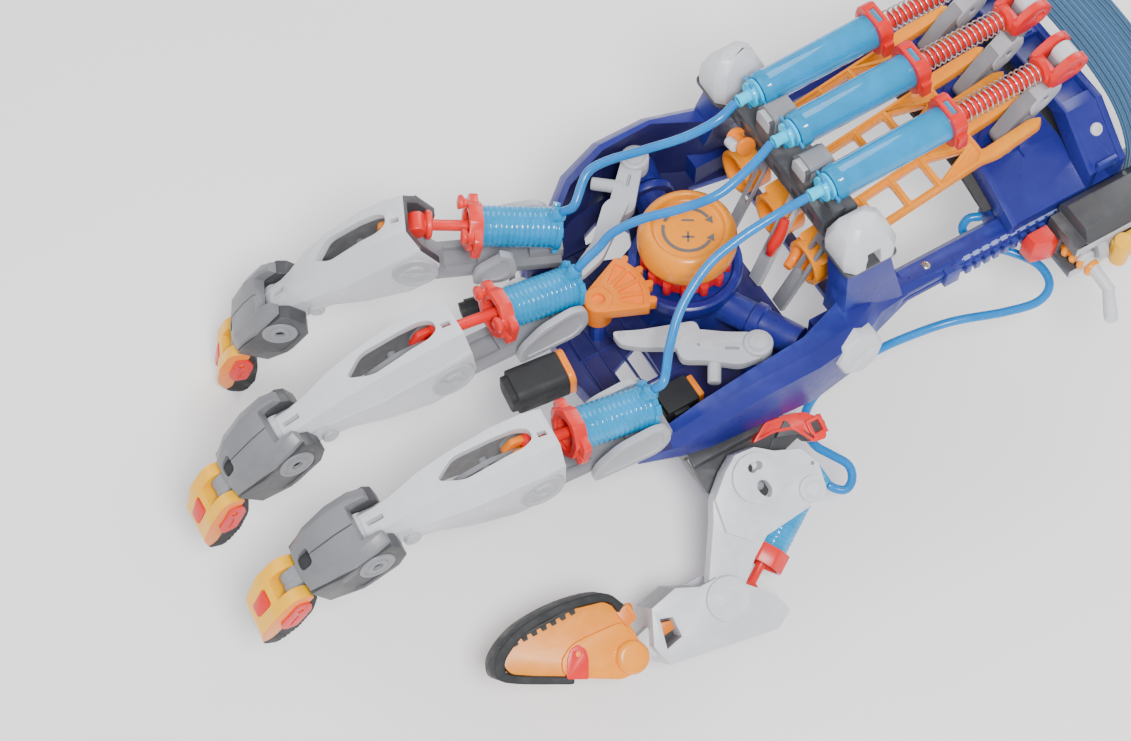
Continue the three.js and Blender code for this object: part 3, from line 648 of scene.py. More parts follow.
for n, pts in ROUTES.items():
    line, length = resample(catmull(pts, 16), 160 if n == "thumb" else 80)
    g = tube(line, 2.2, 20)
    o = obj_of(g, "tube_" + n + "_skin")
    finish_mesh(o, 0.25, 2, 50, 60, merge=False)
    o.data.materials.append(TUBE)
    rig.replaces(o, "tube_" + n)
    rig.slot(o, "tube")
    if n == "middle":
        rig.ride(o, "frame")
    elif n == "thumb":
        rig.blend(o, "frame", "thumb_metacarpal", tuple(Vector((-20, -70, -45)) * MM), tuple(Vector((-34, -108, -51)) * MM))
    else:
        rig.blend(o, "frame", "cradle_" + n, tuple(Vector(pts[2]) * MM), tuple(Vector(pts[-2]) * MM))
    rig.cord(o, exit=tuple(Vector(pts[0]) * MM), length=round(length * MM, 4), diameter=0.0044, far_end="object", stiffness="medium", lay="taut" if n != "thumb" else "loose", path=[tuple(p * MM) for p in line])
    TUBES[n] = o

# ------------------------------------------------------------------ more helpers
def rot_lathe(prof, n=40):
    """A closed profile of (s, r) pairs turned about the s axis, so it has a bore."""
    k = len(prof)
    v, f = [], []
    for i in range(n):
        a = 2 * math.pi * i / n
        for s, r in prof:
            v.append((r * math.cos(a), r * math.sin(a), s))
    for i in range(n):
        for j in range(k):
            a, b = i * k + j, i * k + (j + 1) % k
            c, d = ((i + 1) % n) * k + j, ((i + 1) % n) * k + (j + 1) % k
            f.append([a, b, d, c])
    return fix(G(v, f))


def hollow(a, b, prof, n=40): return rot_lathe(prof, n).at(basis(a, b))


def paint(o, mat, test):
    """Gives the faces that pass test(centre in mm, normal) a second material."""
    o.data.materials.append(mat)
    k = len(o.data.materials) - 1
    for p in o.data.polygons:
        if test(p.center * 1000, p.normal):
            p.material_index = k
    return o


def skin(node, mat, bevel=0.6, seg=2, angle=32, sharp=38, cut=(), add=(), slot=None, name=None, grid=()):
    """A node's own shape with its edges rounded, and details added or cut."""
    src = frame["nodes"][node]
    o = bpy.data.objects.new(name or node + "_skin", src.data.copy())
    bpy.context.scene.collection.objects.link(o)
    for a in [x.name for x in o.data.attributes if x.name in ("custom_normal", "sharp_edge", "sharp_face")]:
        o.data.attributes.remove(o.data.attributes[a])
    bm = bmesh.new()
    bm.from_mesh(o.data)
    bmesh.ops.remove_doubles(bm, verts=bm.verts, dist=4e-6)
    bm.to_mesh(o.data)
    bm.free()
    if add:
        boolean(o, add, "UNION")
    if cut:
        boolean(o, cut, "DIFFERENCE")
    finish_mesh(o, bevel, seg, angle, sharp, grid=grid)
    o.data.materials.clear()
    o.data.materials.append(mat)
    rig.ride(o, src["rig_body"])
    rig.replaces(o, node)
    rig.slot(o, slot or "frame_blue")
    return o


def outline(pts, r=2.0, seg=5): return smooth_poly(pts, r, seg)


def screw(name, body, a, b, r, mat, m=None, h=0.8, kind="cross"):
    """A pan-head screw: domed head with a cross or hex recess, its axis from a towards b."""
    bm = basis(a, b)
    head = loft([[(x, y, s) for x, y in ring(0, 0, q, 24)] for s, q in ((-0.6, r), (h * 0.35, r), (h * 0.8, r * 0.86), (h, r * 0.6))]).at(bm)
    if kind == "cross":
        cuts = [box(-r * 0.62, r * 0.62, -r * 0.11, r * 0.11, h * 0.3, h + 1).at(bm), box(-r * 0.11, r * 0.11, -r * 0.62, r * 0.62, h * 0.3, h + 1).at(bm)]
    else:
        cuts = [pz(ring(0, 0, r * 0.5, 6), h * 0.2, h + 1).at(bm)]
    return piece(name, body, mat, [head], cuts, bevel=0.12, seg=1, m=m, slot="steel")


# ------------------------------------------------------------------ fingers
def sec(x, w, zb, zs, wt, zt, g=0.0):
    return [(x, -w - g, zb - g * 0.3), (x, w + g, zb - g * 0.3), (x, w + g, zs), (x, wt + g * 0.4, zt), (x, -wt - g * 0.4, zt), (x, -w - g, zs)]


SHELL = [(12, 15, -3, 12, 10, 23), (3, 16, -12, 13, 10.5, 25), (-12, 16, -13, 13, 10.5, 25), (-34, 15, -7, 11, 9.5, 22), (-50, 12, -3, 9, 8, 18), (-64, 9, -6, 6, 6, 12), (-72, 8.2, -8, 5, 5.5, 9), (-80, 8.2, -6, 5, 5.5, 7.5)]
CAVITY = [(14, 11.5, -30, 11, 7.5, 20), (-14, 11.5, -30, 10, 7.5, 21), (-34, 11, -30, 8, 7, 18), (-48, 8, -30, 5, 5, 13)]


def interp(x, k):
    """Half-width (1) or height (2) of the hollow in the first phalanx at x."""
    xs = [(14, 11.5, 20), (-14, 11.5, 21), (-34, 11, 18), (-48, 8, 13), (-60, 8, 13)]
    for a, b in zip(xs, xs[1:]):
        if b[0] <= x <= a[0]:
            return a[k] + (b[k] - a[k]) * (a[0] - x) / (a[0] - b[0])
    return xs[0][k]


def finger(n):
    F, P, Q, E, S = fmat(n)
    f = FING[n]
    bp, bq, be = "proximal_" + n, "phalanx_" + n, "fingertip_" + n
    bc = "frame" if n == "middle" else "cradle_" + n
    # first phalanx shell, with a raised side panel whose lower edge is an S curve
    panel = loft([sec(*s, g=0.55) for s in SHELL])
    side = outline([(13, -4), (13, 14.5), (-14, 14.2), (-34, 11.6), (-50, 9.4), (-62, 6.6), (-60, 2), (-48, -1), (-34, 1), (-20, -4), (-6, -9), (6, -9)], 5, 5)
    pan = obj_of(panel, "pan")
    boolean(pan, [py(side, -20, 20), ], "INTERSECT")
    core = obj_of(loft([sec(*s) for s in SHELL]), "proximal_" + n + "_shell")
    boolean(core, [pan], "UNION")
    win = outline([(-3, -5.2), (2.4, -2.6), (2.4, 2.6), (-3, 5.2), (-33, 6.4), (-44, 0), (-33, -6.4)], 3.4, 5)
    rim = outline([(-3, -6.4), (3.6, -3.2), (3.6, 3.2), (-3, 6.4), (-33, 7.6), (-46.4, 0), (-33, -7.6)], 3.8, 5)
    arch = py(outline([(10, -30), (10, -9), (0, -9.6), (-14, -9), (-30, -3.4), (-46, 0.6), (-56, -3), (-58, -30)], 4, 4), -6.5, 6.5)
    cuts = [loft([sec(*s) for s in CAVITY]), pz(win, 10, 30), box(4.6, 9, -3.4, -0.8, 19, 30), box(-78, -70, -1.2, 1.2, 0, 12), box(-72.4, -62, -2.6, 2.6, -12, -2), rod((0, -20, 0), (0, 20, 0), 8.2)]
    boolean(core, cuts, "DIFFERENCE")
    for v in core.data.vertices:
        v.co = P @ (v.co * 1000) * MM
    finish_mesh(core, 0.75, 3, 24, 30)
    core.data.materials.clear()
    core.data.materials.append(WHITE)
    inv = P.inverted()
    # faces inside the hollow of the white first phalanx take the dark material: painted shade in the cavity
    paint(core, DARK, lambda c, nn: False)
    for p in core.data.polygons:
        c = inv @ (p.center * 1000)
        nl = inv.to_3x3() @ p.normal
        if -50 < c.x < 14 and c.z > -9 and c.z < interp(c.x, 2) + 0.3 and abs(c.y) < interp(c.x, 1) + 0.3:
            p.material_index = 1
    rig.ride(core, bp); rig.replaces(core, "proximal_" + n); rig.slot(core, "white")
    # outline points round the window and the shell's top height along x; no bead is built from them
    pc = [Vector((x, y, 0)) for x, y in rim]
    def topz(x):
        xs = [(s[0], s[5]) for s in SHELL]
        for (xa, za), (xb, zb) in zip(xs, xs[1:]):
            if xb <= x <= xa:
                return za + (zb - za) * (xa - x) / (xa - xb)
        return xs[0][1]
    # side discs: coin edge, stepped face and a slanted slot
    for s, tag in ((-1, "near"), (1, "far")):
        a, b = (0, s * 12, 0), (0, s * 19, 0)
        d = lathe(a, b, [(0, 10.4), (3.2, 11), (4.9, 11), (5.4, 10.6), (5.4, 9.6), (4.9, 9.2), (4.9, 5.4), (5.6, 5.0), (5.6, 3.0), (5.2, 2.6)], 48)
        sl = box(-8.2, 8.2, -0.9, 0.9, -1, 1)
        slot_m = T(0, s * 17.4, 0) @ Ry(38)
        sl = box(-7.6, 7.6, -0.9, 0.9, -1.1, 1.1).at(slot_m)
        piece("proximal_%s_disc_%s" % (n, tag), bp, PALE, [d], [sl, rod((0, s * 16.9, 0), (0, s * 20, 0), 1.5, n=20)], 0.22, 2, m=P, slot="white", angle=28)
        capz = -4
        piece("proximal_%s_cap_%s" % (n, tag), bp, PALE, [lathe((-61, s * 6, capz), (-61, s * 12, capz), [(0, 4.0), (4.6, 4.0), (5.2, 3.4), (5.2, 2.0), (4.8, 1.6)], 32)], (), 0.2, 2, m=P, slot="white")
    piece("proximal_%s_roller" % n, bp, WHITE, [lathe((-81, -8.4, 0), (-81, 8.4, 0), [(0, 5.6), (0.7, 6.4), (4.6, 6.6), (4.9, 6.2), (11.9, 6.2), (12.2, 6.6), (16.1, 6.4), (16.8, 5.6)], 40)], [rod((-81, -9, 0), (-81, -7.6, 0), 2.4, n=20), rod((-81, 7.6, 0), (-81, 9, 0), 2.4, n=20)], 0.2, 2, m=P, slot="white")
    # hinge block and pull link seen through the window
    piece("proximal_%s_hinge" % n, bp, RED if n == "middle" else ORANGE, [py(outline([(-9, 7.8), (2, 7.8), (3, 12), (0, 18), (-6, 19), (-11, 13)], 1.6), -4.4, 4.4)], [rod((-3, -9, 12), (-3, 9, 12), 2.2, n=20), box(-14, 2, -1.5, 1.5, 8, 24)], 0.5, 2, m=P, slot="orange")
    piece("proximal_%s_link" % n, bp, GREY, [py(outline([(-3, 9), (-3, 14), (-18, 16), (-34, 12), (-44, 6), (-43, 3), (-32, 7), (-16, 10)], 2), -1.3, 1.3), rod((-20, -3.4, 13), (-20, 3.4, 13), 2.4, n=24)], (), 0.35, 2, m=P, slot="grey")
    # second phalanx: dark cheeks, pale faceted top, clasp
    wedge = [[(-42, -10.4, z), (-42, -30, z), (-14, -30, z), (-14, -16.6, z)] for z in (-30, 30)]
    wl, wr = loft(wedge), loft([[(x, -y, z) for x, y, z in r] for r in wedge])
    cheek = py([(14, 2), (12, -8), (5, -13), (-10, -13), (-30, -10), (-31, 6), (-20, 8.8), (-2, 9.2), (12, 6.5)], -16.5, 16.5)
    piece("phalanx_%s_cheeks" % n, bq, DARK, [cheek], [box(-15.5, 30, -9, 9, -30, 30), box(-29, -15, -6.5, 6.5, -30, -6), wl, wr, py(outline([(-12, -10), (4, -10), (7, -4), (5, 4), (-8, 5), (-24, 2), (-26, -6)], 3), -18, -15.9), py(outline([(-12, -10), (4, -10), (7, -4), (5, 4), (-8, 5), (-24, 2), (-26, -6)], 3), 15.9, 18)], 0.7, 3, m=Q, replaces="phalanx_" + n, slot="dark")
    top = loft([[(x, -w, zb), (x, w, zb), (x, w, zm), (x, w - 4.5, zt), (x, 0, zt + 0.7), (x, -w + 4.5, zt), (x, -w, zm)] for x, w, zb, zm, zt in ((12.6, 14.4, 7, 9.5, 12.2), (6, 16, 8.5, 11.5, 14.2), (-6, 16.3, 9, 12, 15), (-20, 14.4, 9, 11, 14.2), (-30.4, 11.6, 6.4, 7, 9.4))])
    piece("phalanx_%s_top" % n, bq, TOPGREY, [top], [box(3, 30, -8.9, 8.9, 0, 30), box(-32, 14, -0.35, 0.35, 13.6, 30), pz(outline([(-21, -4.4), (-28.6, -3.6), (-28.6, 3.6), (-21, 4.4)], 2.6), 0, 30)], 0.6, 3, m=Q, slot="grey", angle=22)
    piece("phalanx_%s_well" % n, bq, BLACK, [pz(outline([(-20.4, -5), (-29, -4.2), (-29, 4.2), (-20.4, 5)], 2.6), -2, 9.6)], (), 0.3, 1, m=Q, slot="black")
    for s, tag in ((-1, "near"), (1, "far")):
        piece("phalanx_%s_disc_%s" % (n, tag), bq, GREY, [lathe((0, s * 14, 0), (0, s * 19, 0), [(0, 8.6), (2.9, 8.6), (3.3, 8.2), (3.3, 6.6), (2.9, 6.3), (2.9, 5.0), (3.5, 4.7), (3.5, 3.2)], 44)], [rod((0, s * 14.5, 0), (0, s * 20, 0), 2.5, n=24)], 0.18, 2, m=Q, slot="grey")
        piece("phalanx_%s_pin_%s" % (n, tag), bq, BLACK, [lathe((0, s * 14, 0), (0, s * 18, 0), [(0, 2.6), (1.6, 2.6), (1.9, 2.2), (1.9, 1.2)], 24)], (), 0.1, 1, m=Q, slot="black")
    piece("phalanx_%s_clasp" % n, bq, GREY, [box(-38, -28, -4.6, 4.6, -4, 4.6), lathe((-38, -4.8, 0), (-38, 4.8, 0), [(0, 4.4), (0.5, 5), (3.4, 5.1), (3.7, 4.8), (5.9, 4.8), (6.2, 5.1), (9.1, 5), (9.6, 4.4)], 36)], (), 0.3, 2, m=Q, slot="grey")
    # fingertip: yellow cover, orange flanks, black pad, red clips
    tw = [[(-42, -8.3, z), (-42, -30, z), (-10, -30, z), (-10, -11.6, z)] for z in (-30, 30)]
    tl, tr = loft(tw), loft([[(x, -y, z) for x, y, z in r] for r in tw])
    cover = py(outline([(5.4, 0), (4, 5), (0, 7.6), (-12, 9), (-27, 6.2), (-34.5, 0.4), (-30, -2.2), (-12, -1.2), (4.6, -3.4)], 2.2, 4), -11.5, 11.5)
    cov = piece("fingertip_%s_cover" % n, be, YELLOW, [cover], [box(-6, 20, -5.2, 5.2, -30, 30), tl, tr, pz(outline([(-10, -4.6), (-10, 4.6), (-22, 3.6), (-22, -3.6)], 1.6), 7.6, 30).at(Ry(0))], 0.9, 3, m=E, replaces="fingertip_" + n, slot="yellow")
    inv = E.inverted()
    paint(cov, ORANGE, lambda c, nn: abs((inv.to_3x3() @ nn).y) > 0.6 and abs((inv @ c).y) > 7.4)
    piece("fingertip_%s_pad" % n, be, BLACK, [py(outline([(4.6, -3.7), (-12, -1.6), (-30.2, -2.6), (-35, 0.2), (-37, -2.4), (-36.6, -8.6), (-33, -10.6), (-22, -12), (-6, -9.4), (3.6, -5.6)], 1.6, 4), -11.2, 11.2)],
          [box(-6, 20, -5.2, 5.2, -30, 30), tl.at(T(0, 0.5, 0)), tr.at(T(0, -0.5, 0))] + [box(-34 + i * 3, -33.1 + i * 3, -20, 20, -14, -10.2 if i > 1 else -9) for i in range(9)], 0.45, 2, m=E, slot="black")
    piece("fingertip_%s_inset" % n, be, RED, [pz(outline([(-10.4, -4.2), (-10.4, 4.2), (-21.6, 3.2), (-21.6, -3.2)], 1.4), 5.4, 8.4)], (), 0.35, 2, m=E @ T(0, 0, 0.3) @ T(-16, 0, 0) @ Ry(-5) @ T(16, 0, 0), slot="red")
    for s, tag in ((-1, "near"), (1, "far")):
        piece("fingertip_%s_clip_%s" % (n, tag), be, RED, [py(outline([(-1, 3), (-15, 3.4), (-20, 0), (-17, -6.4), (-4, -6.8), (1, -3)], 2.2), min(s * 10.2, s * 12.3), max(s * 10.2, s * 12.3))], [rod((-5, s * 11.4, -1), (-5, s * 14, -1), 1.5, n=20), box(-16, -9, min(s * 11.8, s * 13), max(s * 11.8, s * 13), -2.4, -1.4)], 0.4, 2, m=E, slot="red")
    # cylinder: ringed clear barrel, water, piston and rod
    prof = [(0, 8.0)]
    out = [(0, 9.4), (0.5, 9.8)]
    s = 2.4
    while s < 35:
        out += [(s, 9.75), (s + 0.35, 9.95), (s + 0.7, 9.75)]
        s += 2.5
    out += [(36.0, 9.8), (36.2, 10.7), (38.6, 10.8), (39, 10.4), (39, 6.5), (33.6, 6.3), (33, 7.8), (0, 7.8)]
    piece("finger_cylinder_%s_barrel" % n, bc, CLEAR, [hollow((0, 0, 0), (1, 0, 0), out, 44)], (), 0, m=S, slot="clear", sharp=30, replaces="finger_cylinder_" + n, merge=False)
    piece("finger_cylinder_%s_end" % n, bc, CLEAR, [lathe((33.2, 0, 0), (40, 0, 0), [(0, 6.1), (5.4, 6.1), (6.1, 5.6), (6.1, 3.2), (5.6, 3)], 36), rod((33, 0, 6), (38, 0, 13), 3.4, 3.0, 28), rod((36.4, 0, 10.8), (37.3, 0, 12.1), 3.9, 3.9, 28)] + [box(36.3, 38.8, -2.2, 2.2, -12, 12).at(Rx(a)) for a in (45, 135)], (), 0.25, 2, m=S, slot="clear")
    w = piece("finger_cylinder_%s_water" % n, bc, LIQUID, [loft([[(s_, r_ * math.cos(2 * math.pi * i / 40), r_ * math.sin(2 * math.pi * i / 40)) for i in range(40)] for s_, r_ in [(17.7, 7.0), (18.0, 7.5)] + [(18 + 1.6 * k, 7.5) for k in range(1, 9)] + [(32.4, 7.5), (32.8, 7.0)]])], (), 0, m=S, slot="clear", merge=False)
    w.parent = None
    w.matrix_world = Matrix.Identity(4)
    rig.blend(w, bc, "finger_rod_" + n, tuple((S @ Vector((32.4, 0, 0))) * MM), tuple((S @ Vector((18.0, 0, 0))) * MM))
    oct_ = outline([(r_ * math.cos(a), r_ * math.sin(a)) for r_, a in ((12.2, math.pi / 8 + i * math.pi / 4) for i in range(8))], 1.2, 3)
    lugs = outline([(-15, -5.2), (-13, -7.4), (13, -7.4), (15, -5.2), (15, 5.2), (13, 7.4), (-13, 7.4), (-15, 5.2)], 1.6, 3)
    balls = []
    for yy in (() if n == "index" else (-9.5, 9.5)):
        balls += [lathe((-5, yy, 5), (-10, yy, 5), [(0, 2.2), (1.5, 2.2), (1.8, 3.3), (2.6, 3.9), (3.5, 3.9), (4.3, 3.2), (4.7, 1.6)], 28)]
    piece("finger_cylinder_%s_cap" % n, bc, RED, [px(oct_, -5.6, 0.8), px(lugs, -3.6, 0.2)] + balls, [rod((-9, 0, 0), (3, 0, 0), 6.9, n=36), rod((-9, 0, 0), (-4.6, 0, 0), 8.4, n=36), box(-4.4, -2.8, -16, 16, -1.2, 1.2)], 0.45, 2, m=S, slot="red")
    ext = f["cyl"] - 4
    head = [lathe((-ext - 2, -5, 0), (-ext - 2, 5, 0), [(0, 4), (0.5, 4.4), (9.5, 4.4), (10, 4)], 32)]
    if n == "ring":
        head.append(lathe((-ext + 2, 0, 0), (-ext + 8, 0, 0), [(0, 6.4), (0.6, 7.0), (2.2, 7.0), (2.8, 6.4)], 36))
    piece("finger_rod_%s_red" % n, "finger_rod_" + n, RED, [lathe((0, 0, 0), (1, 0, 0), [(12.3, 7.0), (12.8, 7.4), (13.9, 7.4), (14.1, 6.9), (15.2, 6.9), (15.4, 7.4), (16.9, 7.4), (17.3, 7.0)], 36), rod((-ext, 0, 0), (13, 0, 0), 2.7, n=28)] + head, (), 0.25, 2, m=S, replaces="finger_rod_" + n, slot="red")
    # cradle: base, thick rounded side plates and knuckle clevis
    b = -6 - f["k"][2]
    x0 = f["cyl"]
    pts = []
    for s, (a, c) in ((-1, f["petal"][0]), (1, f["petal"][1])):
        o_ = outline([(a, b + 1), (c - 6, b + 1), (c, b + 8), (c - 1, b + 21), (c - 8, b + 25), (a + 14, b + 22), (a + 2, b + 12)], 4.5, 5)
        i_ = outline([(a + 4, b + 4), (c - 8, b + 4), (c - 3.5, b + 9), (c - 4.5, b + 19), (c - 9, b + 21), (a + 15, b + 18.6), (a + 6, b + 11)], 3.5, 5)
        y0, y1 = (-15, -11.6) if s < 0 else (11.6, 15)
        piece("cradle_%s_petal_%s" % (n, "near" if s < 0 else "far"), bc, PALE, [py(o_, y0, y1)], [py(i_, -16, -14.3) if s < 0 else py(i_, 14.3, 16)], 0.9, 3, m=F, slot="grey")
    piece("cradle_%s_base" % n, bc, GREY, [box(8, 70, -9, 9, b, b + 4.4), box(x0 + 16, f["petal"][0][1] - 4, -14, 0, b, b + 4), box(x0 + 12, f["petal"][1][1] - 4, 0, 14, b, b + 4),
          py([(-6, -5), (6, -5), (16, b + 3), (16, b), (6, b), (-7, -4)], -6.5, 6.5), rod((0, -6.5, 0), (0, 6.5, 0), 6.6, n=32), box(x0 + 24, x0 + 40, -5, 5, b + 3, -10.6)],
          [box(14, 30, -5, 5, b + 1.5, b + 9), rod((0, -8, 0), (0, -5.8, 0), 3.6, n=24), rod((0, 5.8, 0), (0, 8, 0), 3.6, n=24)], 0.6, 2, m=F, slot="grey", replaces="cradle_" + n)


for _n in FING:
    finger(_n)

# ------------------------------------------------------------------ skins for the remaining nodes
SKIN = {
    "palm_frame": (BLUE, 0.9, "frame_blue"), "crossbar": (DARK, 0.6, "dark"), "wrist_cap_near": (WHITE, 1.0, "white"), "wrist_cap_far": (WHITE, 1.0, "white"),
    "saddle": (BLUE, 0.8, "frame_blue"), "arm_pad": (FOAM, 1.2, "black"), "arm_strap": (STRAP, 0.5, "strap"), "gear_sector": (ORANGE, 0.5, "orange"),
    "crank_near": (PALE, 0.7, "grey"), "crank_far": (PALE, 0.7, "grey"), "spacer_near": (BLACK, 1.2, "black"), "spacer_far": (BLACK, 1.0, "black"),
    "thumb_bracket": (DARK, 0.6, "dark"), "thumb_metacarpal": (WHITE, 0.8, "white"), "thumb_cylinder": (CLEAR, 0.4, "clear"), "thumb_rod": (RED, 0.4, "red"),
    "thumb_proximal": (WHITE, 0.8, "white"), "thumb_tip": (YELLOW, 1.2, "yellow"), "thumb_unit": (DARK, 1.0, "dark"), "thumb_latch": (RED, 0.7, "red"),
    "thumb_trigger": (YELLOW, 0.8, "yellow"), "thumb_pin_lever": (WHITE, 0.5, "white"), "knob": (YELLOW, 0.7, "yellow"),
}
#@@DETAIL_BEGIN@@
# ------------------------------------------------------------------ knob, gear, sector and cranks
KX, KY = -55, 2
WATER = clear("pale_water", (0.30, 0.92, 1.0), 0.0, 0.08)
DEEP = clear("deep_blue_clear", (0.0, 0.28, 0.72), 0.35, 0.08)
GOLD = plastic("golden_plastic", (0.92, 0.285, 0.0), 0.27, 0.05, 0.12, 0.035, 0.12, edge=(1.0, 0.66, 0.10), sss=0.0)
WHITE2 = plastic("grey_white_plastic", (0.46, 0.47, 0.51), 0.34, 0.05, 0.08, 0.05, 0.15, edge=(0.82, 0.83, 0.86))

kprof = [(17, 20.5), (17.4, 21.9), (18.6, 23.0), (20.5, 23.5), (25.5, 23.5), (28.2, 23.1), (30.6, 22.2), (32.6, 20.9), (33.9, 19.5), (34.4, 18.4), (34.2, 17.6), (33.4, 17.1), (32.2, 16.7), (31.5, 16.2), (31.1, 15.4), (31.0, 14.4), (31.0, 6)]
kcap = piece("knob_cap", "knob", GOLD, [lathe((KX, KY, 0), (KX, KY, 1), kprof, 96)], (), 0, merge=False, sharp=50, slot="yellow", replaces="knob")
KM = T(KX, KY, 0) @ Rz(-30.76)


def arc_band(r0, r1, a0, a1, z0, z1, n=28):
    o_ = [(r1 * math.cos((a0 + (a1 - a0) * i / n) * D2R), r1 * math.sin((a0 + (a1 - a0) * i / n) * D2R)) for i in range(n + 1)]
    i_ = [(r0 * math.cos((a0 + (a1 - a0) * i / n) * D2R), r0 * math.sin((a0 + (a1 - a0) * i / n) * D2R)) for i in range(n, -1, -1)]
    return pz(o_ + i_, z0, z1)


def arrow(a, d, r=11.6):
    c = Vector((r * math.cos(a * D2R), r * math.sin(a * D2R), 0))
    t = Vector((-math.sin(a * D2R), math.cos(a * D2R), 0)) * d
    n_ = Vector((math.cos(a * D2R), math.sin(a * D2R), 0))
    p = [c + n_ * 2.1, c - n_ * 2.1, c + t * 3.8]
    return pz([(q.x, q.y) for q in p], 30.8, 31.3)


for tag, g in (("ring_up", arc_band(10.8, 12.4, 36, 158, 30.8, 31.3)), ("ring_low", arc_band(10.8, 12.4, 168, 330, 30.8, 31.3)), ("head_up", arrow(34, -1)), ("head_low", arrow(332, 1)),
               ("minus", box(-2.9, 2.9, 4.6, 5.6, 30.8, 31.3)), ("plus_a", box(-2.9, 2.9, -4.5, -3.5, 30.8, 31.3)), ("plus_b", box(-0.5, 0.5, -6.9, -1.1, 30.8, 31.3))):
    piece("knob_mark_" + tag, "knob", INK, [g], (), 0.08, 1, m=KM, slot="grey")
teeth = []
for i in range(14):
    a = (i * 360 / 14 + 6) * D2R
    teeth.append(pz(outline([(KX + r_ * math.cos(a + w_), KY + r_ * math.sin(a + w_)) for r_, w_ in ((17, -0.12), (20.4, -0.11), (22, -0.055), (22, 0.055), (20.4, 0.11), (17, 0.12))], 0.8, 3), 4.4, 11.6))
piece("knob_gear", "knob", RED, [lathe((KX, KY, 4), (KX, KY, 18), [(0, 18.6), (0.5, 19), (7.5, 19), (8, 18.4), (8.05, 8.4), (13.4, 8)], 64)] + teeth, (), 0.25, 2, slot="red")
piece("knob_shaft", "knob", STEEL, [lathe((KX, KY, -20), (KX, KY, 4.5), [(0, 4.2), (0.6, 4.8), (24.5, 4.8)], 32)], (), 0.2, 1, slot="steel")
# sector: chunky teeth, sunk panels between ribs, hub
sx, sy = -104, 1
sp = [(sx - 3, sy - 6.3)] + [(sx + 24.4 * math.cos(a * D2R), sy + 24.4 * math.sin(a * D2R)) for a in range(-40, 41, 5)] + [(sx - 3, sy + 6.3)]
st = [pz(outline([(sx + r_ * math.cos((a + w_) * D2R), sy + r_ * math.sin((a + w_) * D2R)) for r_, w_ in ((23, -4.6), (26.3, -3.6), (27.5, -1.8), (27.5, 1.8), (26.3, 3.6), (23, 4.6))], 0.6, 2), 4.6, 11) for a in (-30, -10, 10, 30)]
panels = [pz(outline([(sx + r_ * math.cos(a * D2R), sy + r_ * math.sin(a * D2R)) for r_, a in ((10, a0 + 3), (21.6, a0), (21.6, a0 + 17), (10, a0 + 15))], 1, 3), 8.6, 12) for a0 in (-38, -18.5, 1, 20.5)]
piece("gear_sector_body", "gear_sector", ORANGE, [pz(outline(sp, 1.2, 3), 4.5, 11), lathe((sx, sy, -4), (sx, sy, 12), [(0, 6.4), (0.6, 7), (15.2, 7), (16, 6.2)], 40)] + st, panels + [pz(ring(sx, sy, 3.2, 28), 9, 13)], 0.4, 2, slot="orange", replaces="gear_sector")


def crank(tag, body, arm_pts, link_pts, boss, z0, z1, zl0, zl1, stub, slotp, hole):
    ar, lk = outline(arm_pts, 3.2, 4), outline(link_pts, 3, 4)
    inner = pz([(sum(p[0] for p in ar) / len(ar) + (x - sum(p[0] for p in ar) / len(ar)) * 0.8, sum(p[1] for p in ar) / len(ar) + (y - sum(p[1] for p in ar) / len(ar)) * 0.8) for x, y in ar], z1 - 0.5, z1 + 0.5)
    sl = box(-3.4, 3.4, -0.8, 0.8, -3, 6).at(T(slotp[0], slotp[1], z1) @ Rz(slotp[2]))
    bx, by = boss
    bossg = lathe((bx, by, z0 - 3), (bx, by, z1 + 2.2), [(0, 6.4), (0.6, 7.0), (z1 - z0 + 4.4, 7.0), (z1 - z0 + 4.9, 6.7), (z1 - z0 + 5.2, 6.2)], 48)
    piece(tag + "_arm", body, WHITE2, [pz(ar, z0, z1), pz(lk, zl0, zl1), bossg],
          [rot_lathe([(0, 4.3), (2, 4.3), (2, 5.3), (0, 5.3)], 40).at(T(bx, by, z1 + 1.5)), sl, pz(ring(hole[0], hole[1], 0.9, 16), z1 - 2, z1 + 3)], 0.55, 3, slot="grey", replaces=body)
    piece(tag + "_stub", body, PALE, [lathe(stub[0], stub[1], [(0, 3.2), ((Vector(stub[1]) - Vector(stub[0])).length - 0.6, 3.2), ((Vector(stub[1]) - Vector(stub[0])).length, 2.7)], 32)], (), 0.15, 1, slot="grey")


crank("crank_near", "crank_near", [(-52, -62), (-46, -53), (-50, -48), (-60, -42), (-72, -33), (-84, -34), (-86, -44), (-76, -50), (-64, -60)], [(-69, -29), (-71, -41), (-84, -37), (-98, -28.6), (-106, -22), (-106, -14), (-94, -20)], (-51, -55), 1, 6, 1, 5.2, ((-71, -49, 3), (-78, -60, 1)), (-62.5, -50.5, 148), (-75, -41))
crank("crank_far", "crank_far", [(-43, 58), (-51, 65), (-62, 54), (-72, 44), (-74, 34), (-64, 34), (-54, 46)], [(-64, 38), (-70, 44), (-76, 43), (-92, 27), (-106, 20), (-106, 13), (-92, 17)], (-48.5, 59), 7, 12, 11.4, 15.4, ((-61, 49, 9.5), (-73, 59, 9.5)), (-57.5, 50, 45), (-67, 41))
screw("crank_screw", "crank_near", (-102.6, -18.2, 4.8), (-102.6, -18.2, 6), 2.1, PALE)
